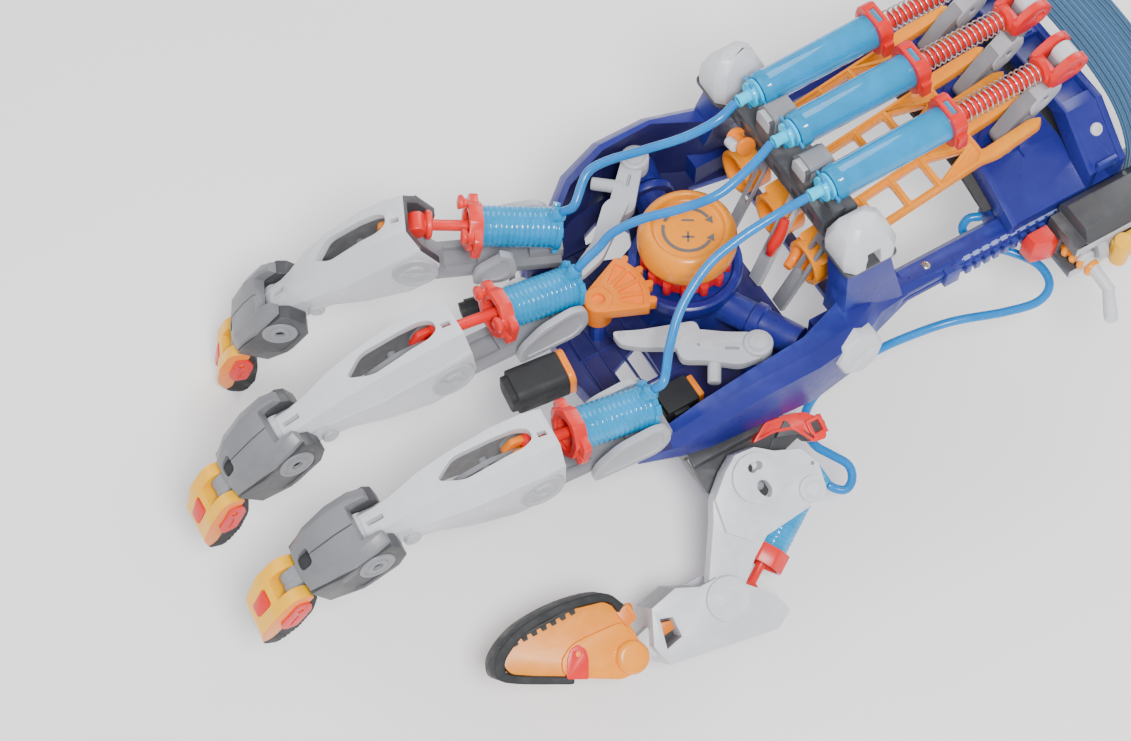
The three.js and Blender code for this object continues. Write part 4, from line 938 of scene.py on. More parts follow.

# ------------------------------------------------------------------ hand frame: blue shell with its inside painted darker blue as painted shade, ribs, collars
ribs = [box(-118 + i * 9, -117 + i * 9, -56, 50 - i * 2, -22.5, -20.6) for i in range(4)]
ribs += [box(-120, -62, y - 0.5, y + 0.5, -22.5, -20.8) for y in (-34, -8, 24, 46)]
palm = skin("palm_frame", BLUE, 1.3, 3, add=[
    hollow((KX, KY, 0), (KX, KY, 1), [(-6, 22.6), (2.6, 22.6), (3.4, 23.4), (3.4, 26.2), (2.6, 27.4), (-2, 27.8), (-6, 27.2)], 64),
    lathe((-40.5, -35, -9), (-37.5, -41, -8.8), [(0, 8.2), (0.8, 9.3), (5.4, 9.3), (6.2, 8.2)], 40),
    lathe((-46, 46, -10), (-44, 55, -9.7), [(0, 8.4), (0.8, 11.6), (3, 12.4), (4.2, 12.4), (5, 11.4), (8, 8.4)], 44)] + ribs,
    cut=[box(20 + 0, 180, -67.6, -66.4, -0.7, 0.7)], slot="frame_blue",
    grid=[(0, v) for v in (-108.3, -92.7, -76.1, -60.4, -44.2, -28.6, -13.3, 2.2, 17.7)] + [(1, v) for v in (-52.3, -37.4, -19.7, 0.35, 19.3, 36.7, 51.4)])


# picks the frame's inside faces (up-facing floor and inward-facing walls) for the darker blue: painted shade
def inside(c, nn):
    if nn.z > 0.5 and c.z < -10 and c.x < 8 and abs(c.y) < 70:
        return True
    if c.x > 8 or abs(c.y) < 30 or (c.x - KX) ** 2 + (c.y - KY) ** 2 < 900:
        return False
    return nn.y * c.y < 0 and abs(nn.y) > 0.55 and abs(c.y) < 70 and c.z > -24 and c.z < 22 and c.x < 0


# paints the inside of the frame darker blue: painted shade
paint(palm, BLUE_SHADE, inside)
piece("side_cap", "frame", WHITE, [lathe((-12, -75.2, 1.8), (-12, -84.6, 3.8), [(0, 13.2), (6.0, 12.8), (7.8, 12.0), (9.0, 10.0), (9.4, 8.6)], 8)], [box(-6.5, 6.5, -0.8, 0.8, 8.7, 12).at(basis((-12, -75.2, 1.8), (-12, -84.6, 3.8)) @ Rz(25))], 0.9, 3, slot="white")
piece("palm_block", "frame", BLACK, [box(-101, -84, -58, -44, -21.6, -9.5), box(-98, -90, -59.5, -57, -19, -12)], [box(-103, -99.6, -56, -46, -18, -12)], 1.0, 3, slot="black")
piece("palm_block_band", "frame", ORANGE, [box(-83.6, -80.6, -57, -45, -21.5, -10.4)], (), 0.7, 3, slot="orange")
piece("rail_scale", "frame", plastic("scale_pale", (0.22, 0.27, 0.55), 0.3, 0.1, 0.1, 0.05, 0.2), [box(57, 146, -65.9, -65.1, 5.1, 5.8).at(T(0, 0, 0))] + [box(58 + i * 5.4, 61.6 + i * 5.4, -1.1, 1.1, -0.45, 0.5).at(T(0, -65.55, 5.55) @ Rx(45)) for i in range(16)], (), 0.15, 1, slot="frame_blue")
for i, (y, s) in enumerate(((-60, -1), (60, 1))):
    for k in range(3):
        screw("rail_screw_%d_%d" % (i, k), "frame", (40 + k * 50, y, 6.9), (40 + k * 50, y, 8), 2.4, STEEL, h=0.9)
# spacers
for tag, M_, (a, b_, c, d, e, f_) in (("near", T(-148, -18, 0) @ Rz(-6), (-16, 12.4, -9.5, 9.5, -7, 10)), ("far", T(-144, 37, 0) @ Rz(-12), (-13, 9.6, -5.5, 5.5, -14, -6.6))):
    o_ = outline([(c, e + 3), (c + 3, e), (d - 3, e), (d, e + 3), (d, f_ - 3), (d - 3, f_), (c + 3, f_), (c, f_ - 3)], 1.5, 3)
    piece("spacer_%s_body" % tag, "frame", BLACK, [px(o_, a + 3, b_), px([(y * 0.82, (z - (e + f_) / 2) * 0.82 + (e + f_) / 2) for y, z in o_], a, a + 3.5)], (), 0.9, 3, m=M_, slot="black", replaces="spacer_" + tag)
    piece("spacer_%s_band" % tag, "frame", ORANGE, [px([(y * 1.0, (z - (e + f_) / 2) * 1.0 + (e + f_) / 2) for y, z in o_], b_ + 0.05, b_ + 3.4)], (), 0.5, 3, m=M_, slot="orange")
piece("spacer_near_arm", "frame", DARK, [box(-146, -129, -20, -10, -20, -7.2)], (), 0.8, 2, slot="black")
piece("spacer_far_arm", "frame", DARK, [box(-139.8, -124, 28.6, 35.6, -18, -14.2)], (), 0.6, 2, slot="black")

# ------------------------------------------------------------------ wrist: crossbar details, caps, spool
skin("crossbar", DARK, 0.8, 3, slot="dark", cut=[box(-10, -8.2, y - 3, y + 3, 44, 50) for y in (-28, -15, 0, 15, 28)])
for i, (y, z) in enumerate(((-15, 70), (14.8, 72))):
    piece("crossbar_block_%d" % i, "frame", GREY, [px(outline([(y - 6.2, z - 9), (y + 6.2, z - 9), (y + 6.2, z - 1), (y + 4.4, z + 1.6), (y - 4.4, z + 1.6), (y - 6.2, z - 1)], 1.2, 3), -5.6, 7)], (), 0.7, 3, slot="dark")
    piece("crossbar_block_face_%d" % i, "frame", PALE, [px(outline([(y - 5, z - 8), (y + 5, z - 8), (y + 5, z - 1.6), (y + 3.6, z + 0.4), (y - 3.6, z + 0.4), (y - 5, z - 1.6)], 1, 3), -8.6, -5.7)], (), 0.6, 3, slot="grey")
skin("wrist_cap_near", WHITE, 1.6, 4, slot="white", cut=[py(outline([(-3.4, 40), (-3.4, 54), (0.5, 58.6), (4.4, 54), (4.4, 40)], 2.6, 5), -70, -60)])
skin("wrist_cap_far", WHITE, 1.6, 4, slot="white")
piece("wrist_cap_near_well", "frame", BLACK, [box(-3.2, 4.2, -59.6, -58, 47.6, 57)], (), 0.3, 1, slot="black")
for tag, y0, y1 in (("near", -66.5, -42), ("far", 42, 64.6)):
    piece("wrist_cap_%s_seal" % tag, "frame", DARK, [pz(outline([(-13.4, y0 + 1), (15.4, y0 + 1), (15.4, y1), (-13.4, y1)], 4, 4), 45.4, 47.2)], (), 0.4, 2, slot="dark")
piece("spool", "frame", ORANGE, [lathe((-12.6, 29, 42), (-13.4, 17.5, 47), [(0, 4.4), (0.4, 4.9), (1.8, 4.9), (2.2, 2.9), (10, 2.9), (10.4, 4.9), (11.8, 4.9), (12.2, 4.4)], 36)], (), 0.25, 2, slot="orange")
piece("spool_roller", "frame", WHITE, [lathe((-17.2, 27.4, 43.4), (-17.6, 21, 46.2), [(0, 2.2), (0.5, 2.7), (6.2, 2.7), (6.8, 2.2)], 30)], (), 0.2, 2, slot="white")
for i, (pts, mat, nm) in enumerate(((((-9, -12, 22), (-13, -14, 15), (-17, -15, 9), (-18, -15, 3)), RED, "guide_red"), (((-4, -20, 12), (-10, -23.5, 5), (-16, -26, 4)), ORANGE, "guide_orange"))):
    piece(nm, "frame", mat, [tube(resample(catmull(pts, 10), 20)[0], lambda t: 2.2 + 0.8 * math.sin(t * 3.1), 14)], (), 0.3, 1, merge=False, slot="red" if i == 0 else "orange")
for i, (a, b_) in enumerate((((4, -34, 44), (-22, -31, -18)), ((4, -8, 44), (-24, -14, -18)), ((4, 17, 44), (-24, 13.4, -18)))):
    va, vb = Vector(a), Vector(b_)
    hw = 2.7 if i == 2 else 4
    L_ = (vb - va).length
    q = (vb - va).normalized()
    mm = Matrix((Vector((0, 1, 0)).cross(q).normalized(), Vector((0, 1, 0)) - q * q.y, q)).transposed().to_4x4()
    mm.translation = va
    piece("wrist_stay_%d" % i, "frame", GREY if i != 1 else PALE, [pz(outline([(-1.6, -hw), (1.6, -hw), (1.6, hw), (-1.6, hw)], 0.8, 3), 0, L_)], [box(-3, 3, -2, 2, L_ * 0.3, L_ * 0.62)], 0.4, 2, m=mm, slot="grey")

# ------------------------------------------------------------------ wrist masters
MY, MZ = {"index": -30, "middle": 0, "ring": 29.5}, {"index": 69, "middle": 74, "ring": 70}
for n in MY:
    y, z = MY[n], MZ[n]
    R = lambda x: Vector((x, y, z + (x - 2) * 0.055))
    X0, X1 = R(0), R(1)
    AX = basis(R(0), R(100))
    body = "master_rod_" + n
    piece("master_%s_barrel" % n, "frame", CLEAR, [rot_lathe([(-1.8, 7.6), (-0.8, 8.4), (2, 8.5), (2.3, 8.7), (3.4, 8.7), (3.7, 8.5), (59.6, 8.5), (59.6, 7.0), (3.6, 7.0), (3.2, 2.0), (-1.8, 2.0)], 48).at(AX)], (), 0, slot="clear", merge=False, replaces="master_cylinder_" + n)
    nz = [rot_lathe([(-12.8, 2.1), (-12.8, 2.9), (-11.4, 3.1), (-11.2, 2.8), (-6.6, 2.8), (-6.4, 6.0), (-5.4, 6.2), (-5.2, 3.4), (-3.6, 3.4), (-3.4, 6.6), (-2.2, 6.6), (-2.0, 3.0), (-1.9, 1.6), (-6, 1.5), (-12.4, 1.5)], 36).at(AX)]
    piece("master_%s_nozzle" % n, "frame", LIQUID, nz, (), 0, slot="clear", merge=False)
    piece("master_%s_ears" % n, "frame", CLEAR, [box(-1.2, 1.2, -9.8, 9.8, -3.4, -2.2).at(AX), box(-9.8, 9.8, -1.2, 1.2, -6.4, -5.4).at(AX)], [rod((0, 0, -8), (0, 0, 0), 3.4, n=28).at(AX)], 0.25, 2, slot="clear")
    w = piece("master_%s_water" % n, "frame", WATER, [loft([[(a_, b_, s) for a_, b_ in ring(0, 0, r_, 36)] for s, r_ in [(4.0, 6.0), (4.4, 6.7)] + [(5 + 3 * k, 6.72) for k in range(11)] + [(37.4, 6.7), (37.8, 6.0)]]).at(AX)], (), 0, slot="clear", merge=False)
    w.parent = None
    w.matrix_world = Matrix.Identity(4)
    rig.blend(w, "frame", body, tuple(R(5) * MM), tuple(R(37.5) * MM))
    piece("master_%s_piston" % n, body, DEEP, [lathe(R(38), R(39), [(0, 6.0), (0.4, 6.7), (2.2, 6.7), (2.5, 5.4), (4.2, 5.4), (4.5, 6.7), (6.4, 6.7), (6.8, 5.4), (9.0, 5.4), (9.4, 6.5), (10.6, 6.5)], 36)], (), 0, slot="clear", merge=False)
    # clip: octagonal red collar with a blue-filled window and side hooks
    oc = outline([(-10.5, -6), (-7, -10.2), (7, -10.2), (10.5, -6), (10.5, 7.4), (7, 10.9), (-7, 10.9), (-10.5, 7.4)], 1.6, 4)
    CM = T(59.4, y, z + 57.4 * 0.055) @ Ry(-3.15)
    piece("master_%s_clip" % n, "frame", RED, [px(oc, 0, 6.6), box(1, 6, -12.4, -9.6, -7.4, 1.4), box(1, 6, 9.6, 12.4, -7.4, 1.4)], [rod((-1, 0, 0), (8, 0, 0), 6.2, n=44), rod((-1, 0, 0), (1.6, 0, 0), 8.7, n=44), box(1.9, 4.7, -4.2, 4.2, 10.2, 12), box(1.9, 3.4, 5.4, 11.6, -4, -2.6)], 0.5, 3, m=CM, slot="red")
    piece("master_%s_window" % n, "frame", DEEP if False else plastic("window_blue_" + n, (0.02, 0.20, 0.36), 0.3, 0.1, 0.05, 0.05, 0.3), [box(2.05, 4.55, -4.0, 4.0, 9.8, 10.75)], (), 0.35, 2, m=CM, slot="frame_blue")
    # rod with ribs, flange and clevis
    rp = [(47.5, 3.4), (48, 3.6)]
    s = 69.0
    rp += [(68, 3.1)]
    while s < 111:
        rp += [(s, 3.0), (s + 0.2, 4.05), (s + 1.0, 4.05), (s + 1.2, 3.0)]
        s += 2.9
    rp += [(112.4, 3.2), (112.7, 6.0), (113.2, 6.6), (115.4, 6.6), (115.9, 6.1)]
    CL = T(0, y, z + 7)
    cheek = outline([(114.6, -6.4), (121, -6.6), (131, -4), (134.4, 1.5), (133.4, 6.2), (129, 8.4), (124, 8), (117.5, 3.6), (114.6, 0.8)], 2.4, 5)
    rg = loft([[(a_, b_, s_) for a_, b_ in ring(0, 0, r_, 30)] for s_, r_ in rp]).at(AX)
    piece("master_%s_rod" % n, body, RED, [rg, py(cheek, -8.6, -4.9).at(CL), py(cheek, 4.9, 8.6).at(CL), box(114, 118.6, -8, 8, -5.8, 2).at(CL)], [rod((128, y - 9, z + 8.4), (128, y - 7.7, z + 8.4), 2.4, n=24), rod((128, y + 7.7, z + 8.4), (128, y + 9, z + 8.4), 2.4, n=24)], 0.3, 2, slot="red", replaces="master_rod_" + n)
    # spring of round wire
    turns, L0, L1_, steps = 15, 67.5, 112, 15 * 18
    pts = []
    for k in range(steps + 1):
        t = k / steps
        a = 2 * math.pi * turns * t
        tt = t + 0.004 * math.sin(2 * math.pi * t)
        c = R(L0 + (L1_ - L0) * tt)
        pts.append(Vector((c.x, c.y + 5.35 * math.cos(a), c.z + 5.35 * math.sin(a))))
    so = obj_of(tube(pts, 0.42, 8), "spring_%s_wire" % n)
    finish_mesh(so, 0, merge=False, sharp=80)
    so.data.materials.append(STEEL)
    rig.slot(so, "steel")
    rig.replaces(so, "spring_" + n)
    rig.blend(so, "frame", body, tuple(R(67) * MM), tuple(R(112.5) * MM))
    # lever with a white roller
    zt = z + 7
    lv = outline([(98, 26), (102, 26), (118, 44), (133, zt - 6), (133, zt + 4), (128, zt + 6.6), (121, zt + 1), (120, 61), (106, 50), (95, 34)], 3, 4)
    piece("lever_%s_body" % n, "lever_" + n, GREY, [py(lv, y - 3.8, y + 3.8), rod((100, y - 7.6, 29), (100, y + 7.6, 29), 2.2, n=28)], [py(outline([(106, 42), (110, 41), (120, 54), (117, 56)], 1.6, 3), y - 6, y + 6), py(outline([(121, 57), (130, zt - 8), (129, zt - 2), (123, zt - 4)], 1.6, 3), y - 6, y - 2.9), py(outline([(121, 57), (130, zt - 8), (129, zt - 2), (123, zt - 4)], 1.6, 3), y + 2.9, y + 6)], 0.5, 3, slot="grey", replaces="lever_" + n)
    piece("lever_%s_roller" % n, "lever_" + n, WHITE, [lathe((127.6, y - 4.3, zt + 1.6), (127.6, y + 4.3, zt + 1.6), [(0, 5.0), (0.6, 5.6), (8, 5.6), (8.6, 5.0)], 40)], (), 0.2, 2, slot="white")
    piece("lever_%s_block" % n, "lever_" + n, WHITE2, [py(outline([(112, 44), (120, 47), (127, 56), (126, 63), (119, 62), (110, 52)], 2.4, 4), y - 4.5, y + 4.5)], [rod((118.5, y - 6, 54.4), (118.5, y + 6, 54.4), 2.0, n=24)], 0.6, 3, slot="white")
    # pull bar: ladder with a raised edge and cross ribs
    bz = 14.08 + (1 if n == "middle" else 0)
    PM = T(0, y, bz) @ Ry(-13.5)
    fo = outline([(-6, -10), (84, -10), (92, -12), (116, -11), (119.4, -8), (114, -5.5), (88, -5.5), (88, 5.5), (114, 5.5), (119.4, 8), (116, 11), (92, 12), (84, 10), (-6, 10)], 1.5, 3)
    fi = [outline(h, 1.2, 3) for h in ([(12, -7), (26, -7), (26, 7), (12, 7)], [(29.5, -7), (43, -7), (43, 7), (29.5, 7)], [(46.5, -7), (60, -7), (60, 7), (46.5, 7)], [(63.5, -6.4), (81, 0), (63.5, 6.4)])]
    sink = [pz(outline([(11, -8.6), (83, -8.6), (86, -6.5), (86, 6.5), (83, 8.6), (11, 8.6)], 1, 2), 3.9, 6)]
    cr = [box(x - 0.8, x + 0.8, -8.8, 8.8, 2, 5.2) for x in (27.8, 44.8, 61.8)] + [pz([(62.6, -8.4), (64.4, -8.6), (85.6, -0.8), (85.6, 0.8), (83.6, 0.8)], 2, 5.2), pz([(62.6, 8.4), (83.6, -0.8), (85.6, -0.8), (85.6, 0.8), (64.4, 8.6)], 2, 5.2)]
    bar = obj_of(pz(fo, 0, 5).at(PM), "pull_%s_bar" % n)
    boolean(bar, [g.at(PM) for g in [pz(h, -1, 6) for h in fi] + sink], "DIFFERENCE")
    boolean(bar, [g.at(PM) for g in cr], "UNION")
    boolean(bar, [hollow((-10, y, 8), (-9, y, 8), [(0, 11), (0.6, 11.5), (13.4, 11.5), (14, 11), (14, 9.5), (13.4, 9), (0.6, 9), (0, 9.5)], 48)], "UNION")
    boolean(bar, [box(84, 140, y - 5.2, y + 5.2, 0, 100)], "DIFFERENCE")
    finish_mesh(bar, 0.5, 2)
    bar.data.materials.clear()
    bar.data.materials.append(GOLD)
    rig.ride(bar, "pull_bar_" + n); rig.replaces(bar, "pull_bar_" + n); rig.slot(bar, "orange")

# ------------------------------------------------------------------ forearm: saddle, pad, strap
def archp(y, z, yi, zi): return [(-y, 7.4), (-y, z * 0.55), (-y * 0.62, z), (y * 0.62, z), (y, z * 0.55), (y, 7.4), (yi, 7.4), (yi, zi * 0.55), (yi * 0.62, zi), (-yi * 0.62, zi), (-yi, zi * 0.55), (-yi, 7.4)]


lips = [px(archp(66.7, 25.8, 52.4, 17.4), 84, 87), px(archp(66.7, 44.8, 53.4, 36.4), 144.6, 148), px(archp(66.5, 44.6, 53.4, 36.4), 127, 129)]
sad = skin("saddle", BLUE, 1.0, 3, slot="frame_blue", add=lips + [box(131, 142, s - 9, s + 9, 43.6, 45.4) for s in (-15, 15)] + [box(131, 142, -66.9, -65, 24, 30)], cut=[box(106, 106.8, -70, 70, 24.2, 40), box(136, 136.7, -34, 34, 43.2, 60)])
piece("saddle_window", "frame", DARK, [box(132.6, 141.4, -62, -58, 12.6, 21.4)], (), 0.4, 2, slot="dark")
for k, (x, y, z) in enumerate(((139, -52, 36.2), (139, 52, 36.2))):
    screw("saddle_screw_%d" % k, "frame", (x, y, z), (x, y + (8 if y > 0 else -8), z + 8), 3.2, WHITE, h=1.2, kind="hex")
pp = [(-51, 7.4), (-51, 9), (-31.4, 16.4), (31.4, 16.4), (51, 9), (51, 7.4), (45, 6), (44, 7), (28, 11), (-28, 11), (-44, 7), (-45, 6)]
top = catmull([(-50.5, 8.4, 0), (-42, 12.2, 0), (-30, 15.7, 0), (-15, 16.6, 0), (0, 16.6, 0), (15, 16.6, 0), (30, 15.7, 0), (42, 12.2, 0), (50.5, 8.4, 0)], 5)
bot = catmull([(50.5, 7.2, 0), (44, 6.8, 0), (30, 10.0, 0), (15, 10.9, 0), (0, 11, 0), (-15, 10.9, 0), (-30, 10.0, 0), (-44, 6.8, 0), (-50.5, 7.2, 0)], 5)
rings_ = []
for k in range(25):
    t = k / 24
    x = 80 + 66 * t
    e = 1 - 0.55 * math.exp(-min(t, 1 - t) * 66 / 2.2)
    crown = 0.5 * math.sin(math.pi * t)
    row = []
    for i, p in enumerate(top + bot):
        j = i if i < len(top) else len(top) + len(bot) - 1 - i
        mid = 0.5 * (top[min(j, len(top) - 1)].y + bot[len(bot) - 1 - min(j, len(bot) - 1)].y)
        seam = 0.35 * math.exp(-((p.x - 22) / 1.2) ** 2) + 0.35 * math.exp(-((p.x + 22) / 1.2) ** 2)
        row.append((x, p.x * (0.985 + 0.015 * e), mid + (p.y - mid) * e - (seam if i < len(top) else 0) - crown * (1 if i >= len(top) else 0)))
    rings_.append(row)
pad = piece("arm_pad_foam", "frame", FOAM, [loft(rings_)], (), 0, merge=False, sharp=60, slot="black", replaces="arm_pad")
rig.padded(pad, fill=0.75)
# ribbed elastic strap
path = resample(catmull([(-66.2, 7.6, 0), (-66.0, 16, 0), (-63.5, 27, 0), (-55, 38, 0), (-42, 45.6, 0), (-22, 49.8, 0), (0, 51.0, 0), (22, 49.8, 0), (42, 45.6, 0), (55, 38, 0), (63.5, 27, 0), (66.0, 16, 0), (66.2, 7.6, 0)], 10), 90)[0]
strap_len = sum((a - b).length for a, b in zip(path, path[1:]))
cs = [(150, -0.45), (150.2, 0.2)]
for k in range(10):
    x = 151 + k * 3.05
    cs += [(x, 0.25), (x + 0.5, 0.95), (x + 1.6, 0.95), (x + 2.1, 0.25)]
cs += [(181.8, 0.2), (182, -0.45)]
rows_ = []
for k, p in enumerate(path):
    t = (path[min(k + 1, len(path) - 1)] - path[max(k - 1, 0)]).normalized()
    nn = Vector((-t.y, t.x, 0))
    if nn.dot(p - Vector((0, 10, 0))) < 0:
        nn = -nn
    rows_.append([(x, p.x + nn.x * h, p.y + nn.y * h) for x, h in cs])
strap = piece("arm_strap_web", "frame", STRAP, [loft(rows_)], (), 0, merge=False, sharp=35, slot="strap", replaces="arm_strap")

# ------------------------------------------------------------------ thumb
TM = Matrix(((1, 0, 0, -80.2), (0, 0.866025, -0.5, -97.5), (0, 0.5, 0.866025, -30), (0, 0, 0, 1)))
skin("thumb_bracket", DARK, 0.9, 3, slot="dark")
clip = outline([(10, 13), (20, 19), (31, 17.4), (40, 14.6), (47.4, 6.4), (44.2, -1.4), (37.6, -0.4), (34.6, 4.4), (31, 9.8), (22, 12.6)], 1.6, 3)
piece("thumb_clip", "frame", RED, [pz(clip, -15.9, -4.4), box(37.6, 46, 1.4, 10.6, -6, -2.6)], [box(39.6, 44, 3.2, 8.8, -9, 0), pz(outline([(14, 13.8), (21, 17), (30, 15.2), (31, 11.4), (22, 14)], 0.8, 2), -6.4, 0), pz(outline([(35, 8), (38.4, 3), (38.4, 0.6), (36.6, 4)], 0.5, 2), -6.4, 0)], 0.6, 3, m=TM, slot="red")
meta = skin("thumb_metacarpal", WHITE, 1.0, 3, slot="white", cut=[pz(ring(-0.1, 5.2, 2.3, 28), 2, 14).at(TM), pz(outline([(-2.6, -3), (0.5, -1), (3.6, -3), (4.4, -8), (1.6, -11.2), (-1.8, -8)], 2.8, 6), 5, 14).at(TM), pz(ring(28.2, -6.6, 1.0, 20), 3, 14).at(TM), rot_lathe([(0, 3.2), (2, 3.2), (2, 4.4), (0, 4.4)], 36).at(TM @ T(22, -17, 10.4))])
piece("thumb_disc_well", "thumb_metacarpal", BLACK, [pz(outline([(-2.2, -3), (0.5, -1.6), (3.2, -3), (3.9, -8), (1.4, -10.4), (-1.4, -8)], 2.6, 5), 4.6, 6.6)], (), 0.3, 1, m=TM, slot="black")
piece("thumb_disc_pin", "thumb_metacarpal", GREY, [lathe((0.3, -4, 5), (0.3, -4, 9), [(0, 2.2), (2.6, 2.2), (3.2, 1.6)], 28)], (), 0.2, 1, m=TM, slot="grey")
piece("thumb_hole_well", "thumb_metacarpal", BLACK, [pz(ring(-0.1, 5.2, 2.1, 24), 1.6, 5)], (), 0.2, 1, m=TM, slot="black")
# thumb cylinder
TA, TB = Vector((30, -14, -13.2)), Vector((-6, -38, -13.2))
td = (TB - TA).normalized()
TL = (TB - TA).length
on = lambda s: TA + td * s
out = [(0.2, 8.0), (0.8, 8.5)]
s = 3.0
while s < TL - 4:
    out += [(s, 8.45), (s + 0.3, 8.62), (s + 0.6, 8.45)]
    s += 2.3
out += [(TL - 1.2, 8.5), (TL - 1.2, 6.9), (8.0, 6.9), (7.6, 2.0), (0.2, 2.0)]
TX = TM @ basis(on(0), on(10))
piece("thumb_cylinder_barrel", "thumb_metacarpal", CLEAR, [rot_lathe(out, 44).at(TX)], (), 0, slot="clear", merge=False, replaces="thumb_cylinder")
piece("thumb_cylinder_water", "thumb_metacarpal", LIQUID, [loft([[(a_, b_, s_) for a_, b_ in ring(0, 0, r_, 36)] for s_, r_ in ((8.3, 6.0), (8.7, 6.6), (TL - 8.9, 6.6), (TL - 8.5, 6.0))]).at(TX)], (), 0, slot="clear", merge=False)
piece("thumb_cylinder_end", "thumb_metacarpal", CLEAR, [lathe(on(-3), on(0.6), [(0, 8.8), (0.4, 9.4), (3, 9.4), (3.6, 8.9)], 44), rod(on(-7), on(-2), 3, 3.4, 30), rod(on(-6), (37, -22, -13.2), 2.8, 2.8, 28)], (), 0.3, 2, m=TM, slot="clear")
o8 = outline([(10.4 / math.cos(math.pi / 8) * math.cos(a), 10.4 / math.cos(math.pi / 8) * math.sin(a)) for a in [math.pi / 8 + i * math.pi / 4 for i in range(8)]], 1.2, 3)
piece("thumb_cylinder_clip", "thumb_metacarpal", RED, [pz(o8, TL - 4.4, TL + 4.8), box(-3.6, 3.6, 9, 12.6, TL - 3, TL + 4), box(-3.6, 3.6, -12.6, -9, TL - 3, TL + 4)], [rod((0, 0, TL - 5), (0, 0, TL + 6), 8.75, n=44), box(-1, 1, -14, 14, TL - 1, TL + 0.4)], 0.45, 2, m=TM @ basis(on(0), on(10)), slot="red")
piece("thumb_rod_red", "thumb_rod", RED, [lathe(on(TL - 6.2), on(TL), [(0, 6.2), (0.4, 6.6), (1.6, 6.6), (1.8, 6.0), (3, 6.0), (3.2, 6.6), (4.8, 6.6), (5.2, 6.2)], 36), rod(on(TL - 3), on(TL + 17), 2.3, n=28), rod((on(TL + 18).x, on(TL + 18).y, -15.4), (on(TL + 18).x, on(TL + 18).y, -9.6), 3.8, n=30)], (), 0.3, 2, m=TM, slot="red", replaces="thumb_rod")
# thumb second phalanx
prox = skin("thumb_proximal", WHITE, 1.1, 3, slot="white", add=[rot_lathe([(10.6, 9.4), (10.6, 10.6), (11.2, 10.4), (11.2, 9.6)], 44).at(TM @ T(-38, -43, 0)), box(-5.2, 5.2, -1.05, 1.05, 10.8, 11.6).at(TM @ T(-38, -43, 0) @ Rz(8))])
TI = TM.inverted()
# faces on the +y side of the thumb frame below z 6.5 take grey: painted shade on the side turned from the light
paint(prox, GREY, lambda c, nn: (TI.to_3x3() @ nn).y > 0.55 and (TI @ c).z < 6.5)
piece("thumb_proximal_floor", "thumb_proximal", DARK, [pz(outline([(-72.6, -37), (-64, -39), (-64, -50), (-74, -52)], 1.5, 3), -6, -4.4)], (), 0.4, 2, m=TM, slot="dark")
piece("thumb_proximal_link", "thumb_proximal", ORANGE, [pz(outline([(-70.6, -38.6), (-64.6, -40.6), (-64.6, -44.6), (-73, -45.4)], 1.2, 3), -4, 0.8)], (), 0.4, 2, m=TM, slot="orange")
# thumb tip: two-level yellow body, thick rubber rim, comb, clip and round cap
body_o = outline([(-84, -25), (-89.6, -17.4), (-108, -12.6), (-128, -12.6), (-139.4, -16.8), (-144.2, -21), (-143, -26), (-123, -38.6), (-98, -53), (-90, -53.5), (-84, -50), (-82.4, -45)], 2, 4)
plate = outline([(-84.5, -36), (-87, -29), (-104, -27.4), (-113, -27.4), (-120, -31.5), (-122, -38), (-98, -52), (-90, -52.8), (-85, -48)], 3, 5)
tongue = pz([(-70, -60), (-70, -30), (-98, -34), (-98, -60)], -7, 0.6)
tb = piece("thumb_tip_body", "thumb_tip", GOLD, [pz(body_o, -12, 2.6), pz(plate, 2, 5.6)], [tongue], 0.9, 4, m=TM, slot="yellow", replaces="thumb_tip")
piece("thumb_tip_cap", "thumb_tip", GOLD, [lathe((-90, -45.5, 4), (-90, -45.5, 9.6), [(0, 7.9), (3.6, 7.9), (4.8, 7.3), (5.5, 6.3), (5.6, 5)], 56)], (), 0.2, 2, m=TM, slot="yellow")
rim_o = [(-82.4, -22.4), (-88.6, -13.4), (-108, -8.4), (-129, -8.4), (-143, -13.2), (-149.4, -19.6), (-147.6, -27.6), (-124.5, -41), (-119.5, -43.4)]
rim_i = [(-118, -40.6), (-123, -37.8), (-143.2, -26), (-144.4, -20.9), (-139.6, -16.6), (-128, -12.3), (-108, -12.3), (-89.8, -17.2), (-86.2, -24.8)]
oo = [(p.x, p.y) for p in catmull([(x, y, 0) for x, y in rim_o], 5)] + [(p.x, p.y) for p in catmull([(x, y, 0) for x, y in rim_i], 5)]
piece("thumb_tip_rubber", "thumb_tip", BLACK, [pz(oo, -12.8, 6.6)], (), 0.7, 3, m=TM, slot="black", merge=False, angle=40)
piece("thumb_tip_comb", "thumb_tip", BLACK, [box(-143, -96, -13.6, -12.2, 1.4, 3.4)] + [pz([(x - 1.7, -12.6), (x + 1.7, -12.6), (x + 1.1, -15.6), (x - 1.1, -15.6)], 1.2, 3.4) for x in range(-135, -102, 5)], (), 0.2, 1, m=TM @ T(0, -0.2, 0), slot="black")
piece("thumb_tip_clip", "thumb_tip", RED, [pz(outline([(-110, -28.2), (-107.8, -32), (-108.6, -36.4), (-112.8, -44.6), (-121.8, -39.8), (-117.6, -32), (-114, -28.6)], 1.0, 3), -10, 6.7)], [pz(ring(-111.8, -32.2, 1.35, 24), 3, 9)], 0.4, 3, m=TM, slot="red")
piece("thumb_tip_clip_eye", "thumb_tip", BLACK, [pz(ring(-111.8, -32.2, 1.3, 20), 2.6, 5)], (), 0.1, 1, m=TM, slot="black")
piece("thumb_tip_link", "thumb_tip", ORANGE, [pz(outline([(-85.4, -33), (-87, -24), (-80, -23.4), (-79.2, -31)], 1.6, 3), -9, 4.2), rod((-85, -25.4, -3), (-80, -25.4, 3), 2.4, n=24)], (), 0.5, 3, m=TM, slot="orange")

